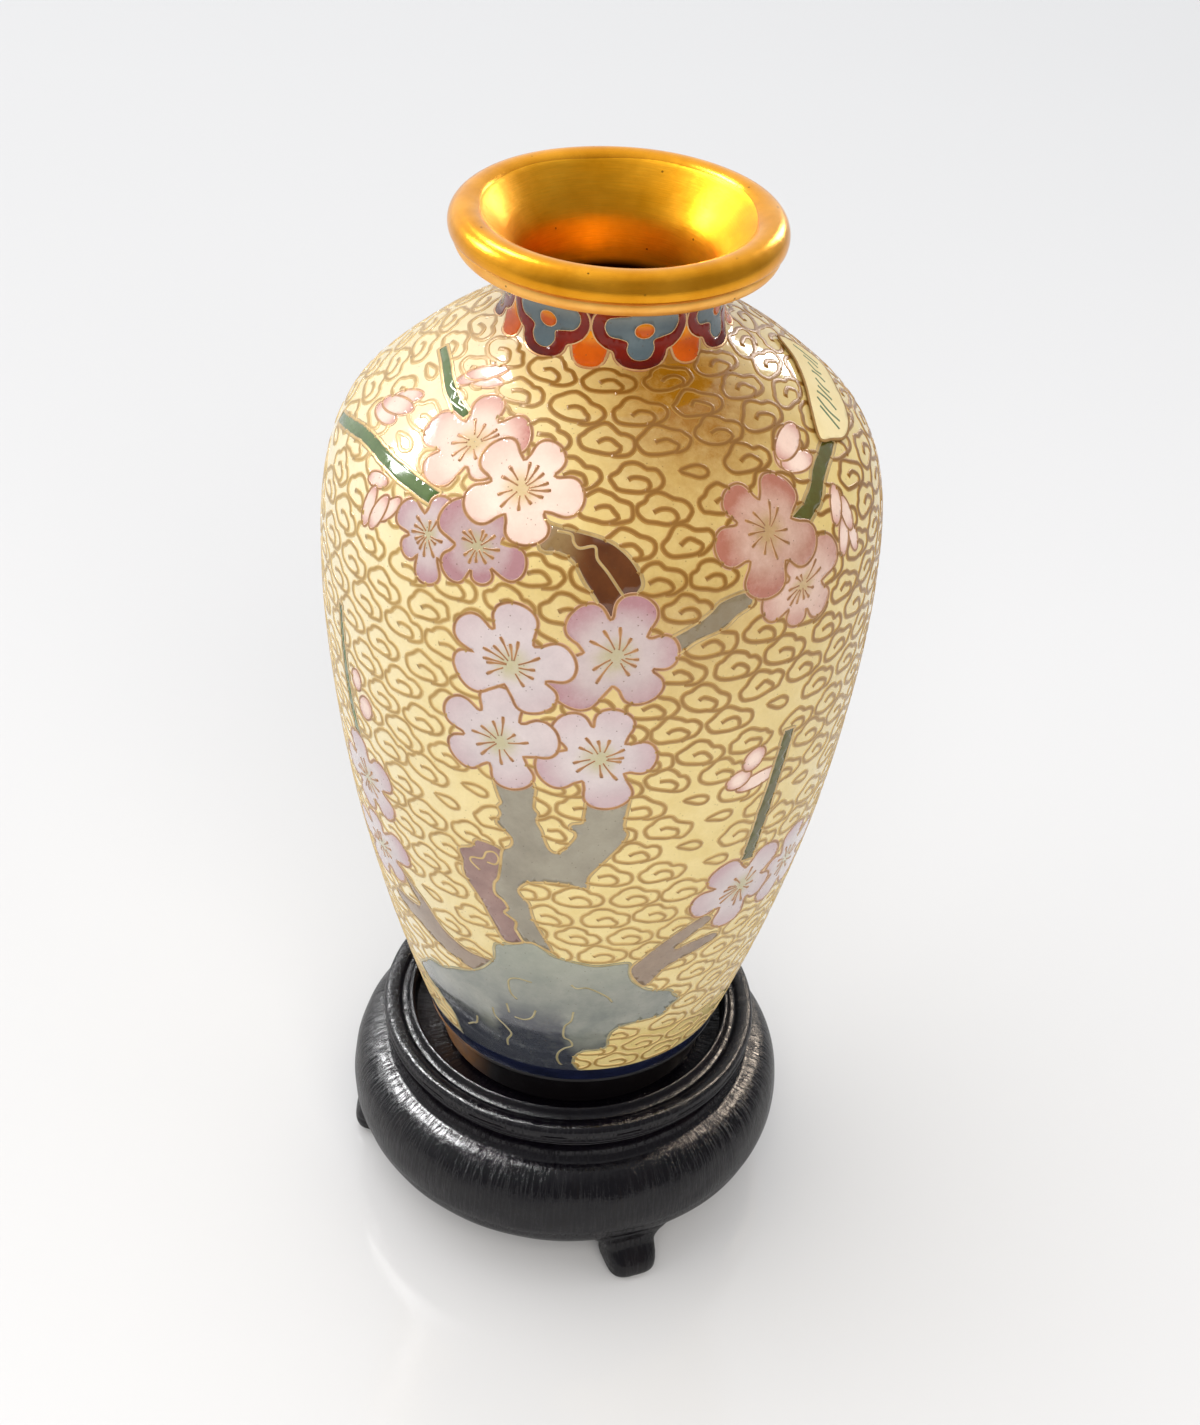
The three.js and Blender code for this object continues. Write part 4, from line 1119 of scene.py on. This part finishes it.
BEAD = (21.8, 188.3)
BEAD_RADIUS = 2.85
bead_profile = arc(BEAD, BEAD_RADIUS, -17, 197, 44) + [(19.3, 187.25), (23.5, 187.2), (24.2, 187.3)]
LIP_FACE = [(22.9, 185), (23.45, 185.2), (23.8, 185.8), (23.9, 186.4), (23.75, 186.95), (23.35, 187.15)]
lip_profile = [(18.1, 185.4)] + curve(LIP_FACE, 5) + [(19.3, 187.15), (18.2, 186.3)]
THROAT_INNER = [
    (12.8, 174), (13.15, 177.5), (13.6, 180.4), (14.45, 183.6), (16, 186.2), (17.5, 188.05), (18.75, 189.4),
    (19.55, 190.17), (20.2, 190.6),
]
THROAT_OUTER = [
    (14.7, 174), (14.7, 180.2), (15.3, 183.2), (16.8, 185.6), (18.75, 187.3), (19.5, 188.8), (20.3, 190),
]
FOOT_RING = [(22.4, 32.7), (22.8, 32.3), (24, 32.3), (24.4, 32.7), (24.4, 40.9), (22.4, 40.9)]
FOOT_EDGE = [(24.7, 39.8), (26.4, 39.8), (26.8, 40), (26.95, 40.3), (26.8, 40.7), (24.7, 40.7)]
lathe("rim_bead", bead_profile, GILT_RIM, ["mouth_rim_bead"], wobble=hand_made, crisp=60)
lathe("lip_band", lip_profile, GILT_LIP, ["mouth_lip_band"], wobble=hand_made)
lathe("neck_tube_lining", THROAT_OUTER + curve(THROAT_INNER, 8)[::-1], GILT_THROAT, ["neck_tube"])
lathe("foot_ring_turned", FOOT_RING, GILT_TARNISH_AND_SHADE, ["foot_ring"])
lathe("foot_edge_wire", FOOT_EDGE, GILT_TARNISH_AND_SHADE, ["foot_edge_ring"])


# ---------- the paper label ----------
LABEL_LINE = [(66.5, 126.6), (72, 127.6), (80, 129.2), (90, 131.8), (100, 134.4)]
LABEL_WIDTHS = [1.5, 6.6, 8.8, 9, 8.6]
LABEL_SLANT = 2.0      # degrees by which the middle line leans towards each long side
LABEL_LIFT = 0.5
INK_START = (74, 127.9)
INK_PITCH = 2.9        # degrees between strokes
INK_RISE = 0.245       # mm up per degree, along the label
PEN_WIDTH = 0.26
high_side, low_side = ([(turn - side * LABEL_SLANT, climb + side * width / 2)
                        for (turn, climb), width in zip(LABEL_LINE, LABEL_WIDTHS)] for side in (1, -1))
label_outline = smooth_outline(high_side + low_side[::-1], 5)
verts, faces, _ = fill(label_outline, (), 1.2, LABEL_LIFT)
piece("label_slip", verts, faces, PAPER, ["paper_label"])
# a painted shadow along the label's edge, where the slip stands proud
verts, faces = ribbon(along_face(label_outline, 0.5, True), PEN_WIDTH, True, lift=LABEL_LIFT - 0.01)
piece("label_edge_shadow", verts, faces, EDGE_SHADOW)
ink_rng = random.Random(5)
ink = []
for i in range(9):
    turn = INK_START[0] + i * INK_PITCH + ink_rng.uniform(-0.4, 0.4)
    middle = INK_START[1] + INK_RISE * (turn - INK_START[0])
    tall = ink_rng.uniform(1.2, 2.6)
    stroke = [(turn, middle - tall), (turn + ink_rng.uniform(-0.7, 0.7), middle),
              (turn + ink_rng.uniform(-0.4, 0.9), middle + tall)]
    ink.append(ribbon(along_face(spline(stroke, 6), 0.5), PEN_WIDTH, lift=LABEL_LIFT))
verts, faces = merge(ink)
piece("label_strokes", verts, faces, INK)


# ---------- the stand ----------
STAND_AT = (-0.64, 0.18)
UNDERSIDE = 8.2        # height of the stand's underside, in mm
RECESS = 32.0          # height of the recess's floor

# the stand's mouldings from the recess outwards and down
INNER_RIM = [(28.55, 32.9), (28.6, 34.6), (28.8, 35.5), (29.2, 36), (29.7, 35.8), (30.2, 35.1), (30.9, 34.7)]
OUTER_RIM = [(31.2, 34.75), (31.9, 35.35), (32.8, 35.65), (33.7, 35.55), (34.3, 35.05), (34.5, 34.4)]
RIM_GROOVE = [(34.42, 33.7), (34.1, 33.35), (34.2, 33), (34.35, 32.6), (34.1, 32.1)]
NECK_HOLLOW = [(33.75, 31.9), (33.8, 31.5), (33.5, 31), (33.1, 30), (33, 29), (33.3, 28), (33.9, 27.3)]
BELLY = [
    (34.3, 27.1), (36, 26.5), (37.8, 25.2), (39.1, 23.4), (39.9, 21), (40.25, 18.2), (40.2, 16),
    (40, 14.9),
]
UNDER_BELLY = [
    (39.75, 14.6), (39.6, 14.2), (39.2, 12.6), (38.2, 11), (36.4, 9.4), (34.4, 8.5), (32.6, UNDERSIDE),
]
stand_profile = (
    [(0, RECESS), (27.6, RECESS), (28.4, RECESS + 0.15)] + curve(INNER_RIM) + curve(OUTER_RIM)
    + curve(RIM_GROOVE, 4) + curve(NECK_HOLLOW) + curve(BELLY, 8) + curve(UNDER_BELLY, 7)
    + [(24, UNDERSIDE), (22, UNDERSIDE + 4), (0, UNDERSIDE + 4)]
)


def hand_turned(turn, z, r):
    """The slight unevenness of a stand turned and lacquered by hand."""
    outside = smoothstep(30, 33, r)
    return outside * (0.10 * np.sin(2 * turn + 0.6) + 0.05 * np.sin(5 * turn + z / 4)
                      + 0.03 * np.sin(17 * turn - z))


lathe("stand_turned", stand_profile, LACQUER, ["stand_body"], offset=STAND_AT,
      wobble=hand_turned, crisp=40, body="stand")

# a foot's sections from the top down: height, half width, inner and outer radius
FOOT_SECTIONS = [
    (11.4, 8.4, 30, 37.2), (10.2, 8.3, 29.2, 37.7), (9.2, 7.6, 29, 37.6), (8.2, 6.6, 29, 37.5),
    (7.2, 5.6, 29, 37.7), (6.2, 4.95, 29.1, 38.2), (5.2, 4.7, 29.2, 39.2), (4.2, 4.65, 29.3, 39.9),
    (3.2, 4.6, 29.4, 40.25), (2.2, 4.6, 29.6, 40.3), (1.2, 4.45, 29.8, 40), (0.45, 4, 30.2, 39.2),
    (0.08, 3.4, 30.7, 38.5), (0, 3, 31, 38.1),
]
FOOT_AROUND = 40
FOOT_SQUARENESS = 3.4  # 2 makes the sections round, and more makes them squarer


def stand_foot(key, turn, seed):
    """A scroll foot: an apron that narrows to an ankle, then a toe that curls out."""
    rows = spline(FOOT_SECTIONS, 3)
    rows[:, 0] = np.maximum(rows[:, 0], 0)
    a = np.arange(FOOT_AROUND) * 2 * math.pi / FOOT_AROUND
    shape = 2 / FOOT_SQUARENESS
    across = np.sign(np.cos(a)) * np.abs(np.cos(a)) ** shape
    outward = np.sign(np.sin(a)) * np.abs(np.sin(a)) ** shape
    rng = np.random.default_rng(seed)
    knock = 0.05 * rng.standard_normal(len(rows))
    verts = []
    c, s = math.cos(turn * DEGREE), math.sin(turn * DEGREE)
    for (height, half, near_side, far_side), off in zip(rows, knock):
        x = across * (half + off)
        y = -((near_side + far_side) / 2 + outward * (far_side - near_side) / 2)
        verts += [(STAND_AT[0] + p * c - q * s, STAND_AT[1] + p * s + q * c, height) for p, q in zip(x, y)]
    faces = [face[::-1] for face in tube_faces(len(rows), FOOT_AROUND, looped=False)]
    last = (len(rows) - 1) * FOOT_AROUND
    faces += [tuple(reversed(range(FOOT_AROUND))), tuple(range(last, last + FOOT_AROUND))]
    obj = piece(f"foot_{key}", verts, faces, LACQUER, [f"stand_foot_{key}"],
                body="stand")
    obj.data.set_sharp_from_angle(angle=50 * DEGREE)


for number, (key, turn) in enumerate((("front", 22.5), ("left", -88), ("back", 147))):
    stand_foot(key, turn, number)

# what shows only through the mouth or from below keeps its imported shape
for node, material in (("copper_body_lower", COPPER), ("copper_body_upper", COPPER), ("base_plate", COPPER),
                       ("counter_enamel_inside", COUNTER_BLUE), ("counter_enamel_base", COUNTER_BLUE)):
    coat(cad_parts[node], material)


# ---------- floor, light and camera ----------
FLOOR_HALF = 6.0


def floor():
    mesh = bpy.data.meshes.new("floor")
    corners = [(x * FLOOR_HALF, y * FLOOR_HALF, 0) for x, y in ((-1, -1), (1, -1), (1, 1), (-1, 1))]
    mesh.from_pydata(corners, [], [(0, 1, 2, 3)])
    obj = bpy.data.objects.new("floor", mesh)
    bpy.context.scene.collection.objects.link(obj)
    coat(obj, Shader("pale_floor", IOR=1.4, Base_Color=paint("DCDDE0"), Roughness=0.12).material)


CENTRE = Vector((0, 0, 0.12))
WHITE = (1.0, 1.0, 1.0)
WARM = (1.0, 0.95, 0.88)
TAWNY = (1.0, 0.84, 0.68)


def toward(azimuth, elevation, distance):
    """A place seen from the middle of the object: azimuth from the front (-Y) towards +X."""
    a, e = azimuth * DEGREE, elevation * DEGREE
    return CENTRE + distance * Vector((math.sin(a) * math.cos(e), -math.cos(a) * math.cos(e), math.sin(e)))


def softbox(name, place, size, power, colour, mirrored=True, only=()):
    """A rectangular light: a mirrored one is only seen in the gloss of the objects it is kept to,
    and any other only lights what it falls on."""
    light = bpy.data.lights.new(name, "AREA")
    light.shape = "RECTANGLE"
    light.size, light.size_y = size
    light.energy = power
    light.color = colour
    obj = bpy.data.objects.new(name, light)
    obj.location = place
    obj.rotation_euler = (CENTRE - place).to_track_quat("-Z", "Y").to_euler()
    obj.visible_camera = False
    obj.visible_glossy = mirrored
    obj.visible_diffuse = not mirrored
    bpy.context.scene.collection.objects.link(obj)
    if only:
        receivers = bpy.data.collections.new(f"{name}_receivers")
        for receiver in only:
            receivers.objects.link(receiver)
        obj.light_linking.receiver_collection = receivers


SKY_BRIGHT_TOWARD = (-0.5, 0.75, 0.38)
SKY_DARK, SKY_BRIGHT = 0.24, 1.15
SKY_COLOUR = (0.97, 0.985, 1.0, 1.0)


def surroundings():
    """A studio that is bright to the left and behind, and dark towards the right front."""
    world = bpy.data.worlds.new("studio")
    world.use_nodes = True
    tree = world.node_tree
    place = tree.nodes.new("ShaderNodeTexCoord").outputs["Generated"]
    dot = tree.nodes.new("ShaderNodeVectorMath")
    dot.operation = "DOT_PRODUCT"
    dot.inputs[1].default_value = Vector(SKY_BRIGHT_TOWARD).normalized()
    tree.links.new(place, dot.inputs[0])
    level = tree.nodes.new("ShaderNodeMapRange")
    level.interpolation_type = "SMOOTHSTEP"
    for socket, value in (("From Min", -0.35), ("From Max", 0.95),
                          ("To Min", SKY_DARK), ("To Max", SKY_BRIGHT)):
        level.inputs[socket].default_value = value
    tree.links.new(dot.outputs["Value"], level.inputs["Value"])
    sky = tree.nodes["Background"]
    sky.inputs["Color"].default_value = SKY_COLOUR
    tree.links.new(level.outputs["Result"], sky.inputs["Strength"])
    bpy.context.scene.world = world


CAMERA_PLACE = (0.0, -0.2818, 0.30915)
CAMERA_TURN = 0.0061
CAMERA_PITCH = 36.44 * DEGREE
CAMERA_ROLL = 3.68 * DEGREE
LENS_MM = 52.55
SENSOR_MM = 36


def camera():
    ahead = Vector((math.sin(CAMERA_TURN) * math.cos(CAMERA_PITCH),
                    math.cos(CAMERA_TURN) * math.cos(CAMERA_PITCH), -math.sin(CAMERA_PITCH)))
    right = Vector((math.cos(CAMERA_TURN), -math.sin(CAMERA_TURN), 0))
    up = right.cross(ahead)
    rolled_right = right * math.cos(CAMERA_ROLL) + up * math.sin(CAMERA_ROLL)
    rolled_up = up * math.cos(CAMERA_ROLL) - right * math.sin(CAMERA_ROLL)
    data = bpy.data.cameras.new("camera")
    data.sensor_width = SENSOR_MM
    data.lens = LENS_MM
    data.clip_start = 0.01
    obj = bpy.data.objects.new("camera", data)
    aim = Matrix((rolled_right, rolled_up, -ahead)).transposed()
    obj.matrix_world = Matrix.Translation(CAMERA_PLACE) @ aim.to_4x4()
    bpy.context.scene.collection.objects.link(obj)
    bpy.context.scene.camera = obj


# the floor comes after these lists, so that the mirrored lights leave it out
shapes = [obj for obj in bpy.context.scene.objects if obj.type == "MESH"]
stand_shapes = [obj for obj in shapes if obj.name in ("stand_turned", "foot_front", "foot_left", "foot_back")]
vase_shapes = [obj for obj in shapes if obj not in stand_shapes]
floor()
surroundings()
# each light: where it stands (azimuth, elevation, metres), its size in metres, watts and colour
for name, direction, size, power, colour, looks in (
        ("left_window", (-107, 30, 0.9), (0.19, 0.19), 4.3, WHITE, {"only": vase_shapes}),
        ("left_skylight", (-133, 52, 0.9), (0.11, 0.18), 4.4, WHITE, {"only": vase_shapes}),
        ("right_window", (146, 21, 0.9), (0.12, 0.30), 1.8, WHITE, {"only": vase_shapes}),
        ("stand_left_window", (-116, 46, 0.9), (0.36, 0.44), 38.0, WHITE, {"only": stand_shapes}),
        ("stand_right_window", (132, 26, 0.9), (0.2, 0.4), 12.0, TAWNY, {"only": stand_shapes}),
        ("key", (-94, 50, 1.4), (2.2, 2.2), 13.0, WARM, {"mirrored": False}),
        ("fill", (8, 38, 1.3), (1.0, 0.8), 11.4, WARM, {"mirrored": False}),
        ("right_fill", (80, 35, 1.4), (1.4, 1.0), 3.2, WARM, {"mirrored": False})):
    softbox(name, toward(*direction), size, power, colour, **looks)
camera()
bpy.context.scene.view_settings.view_transform = "Standard"
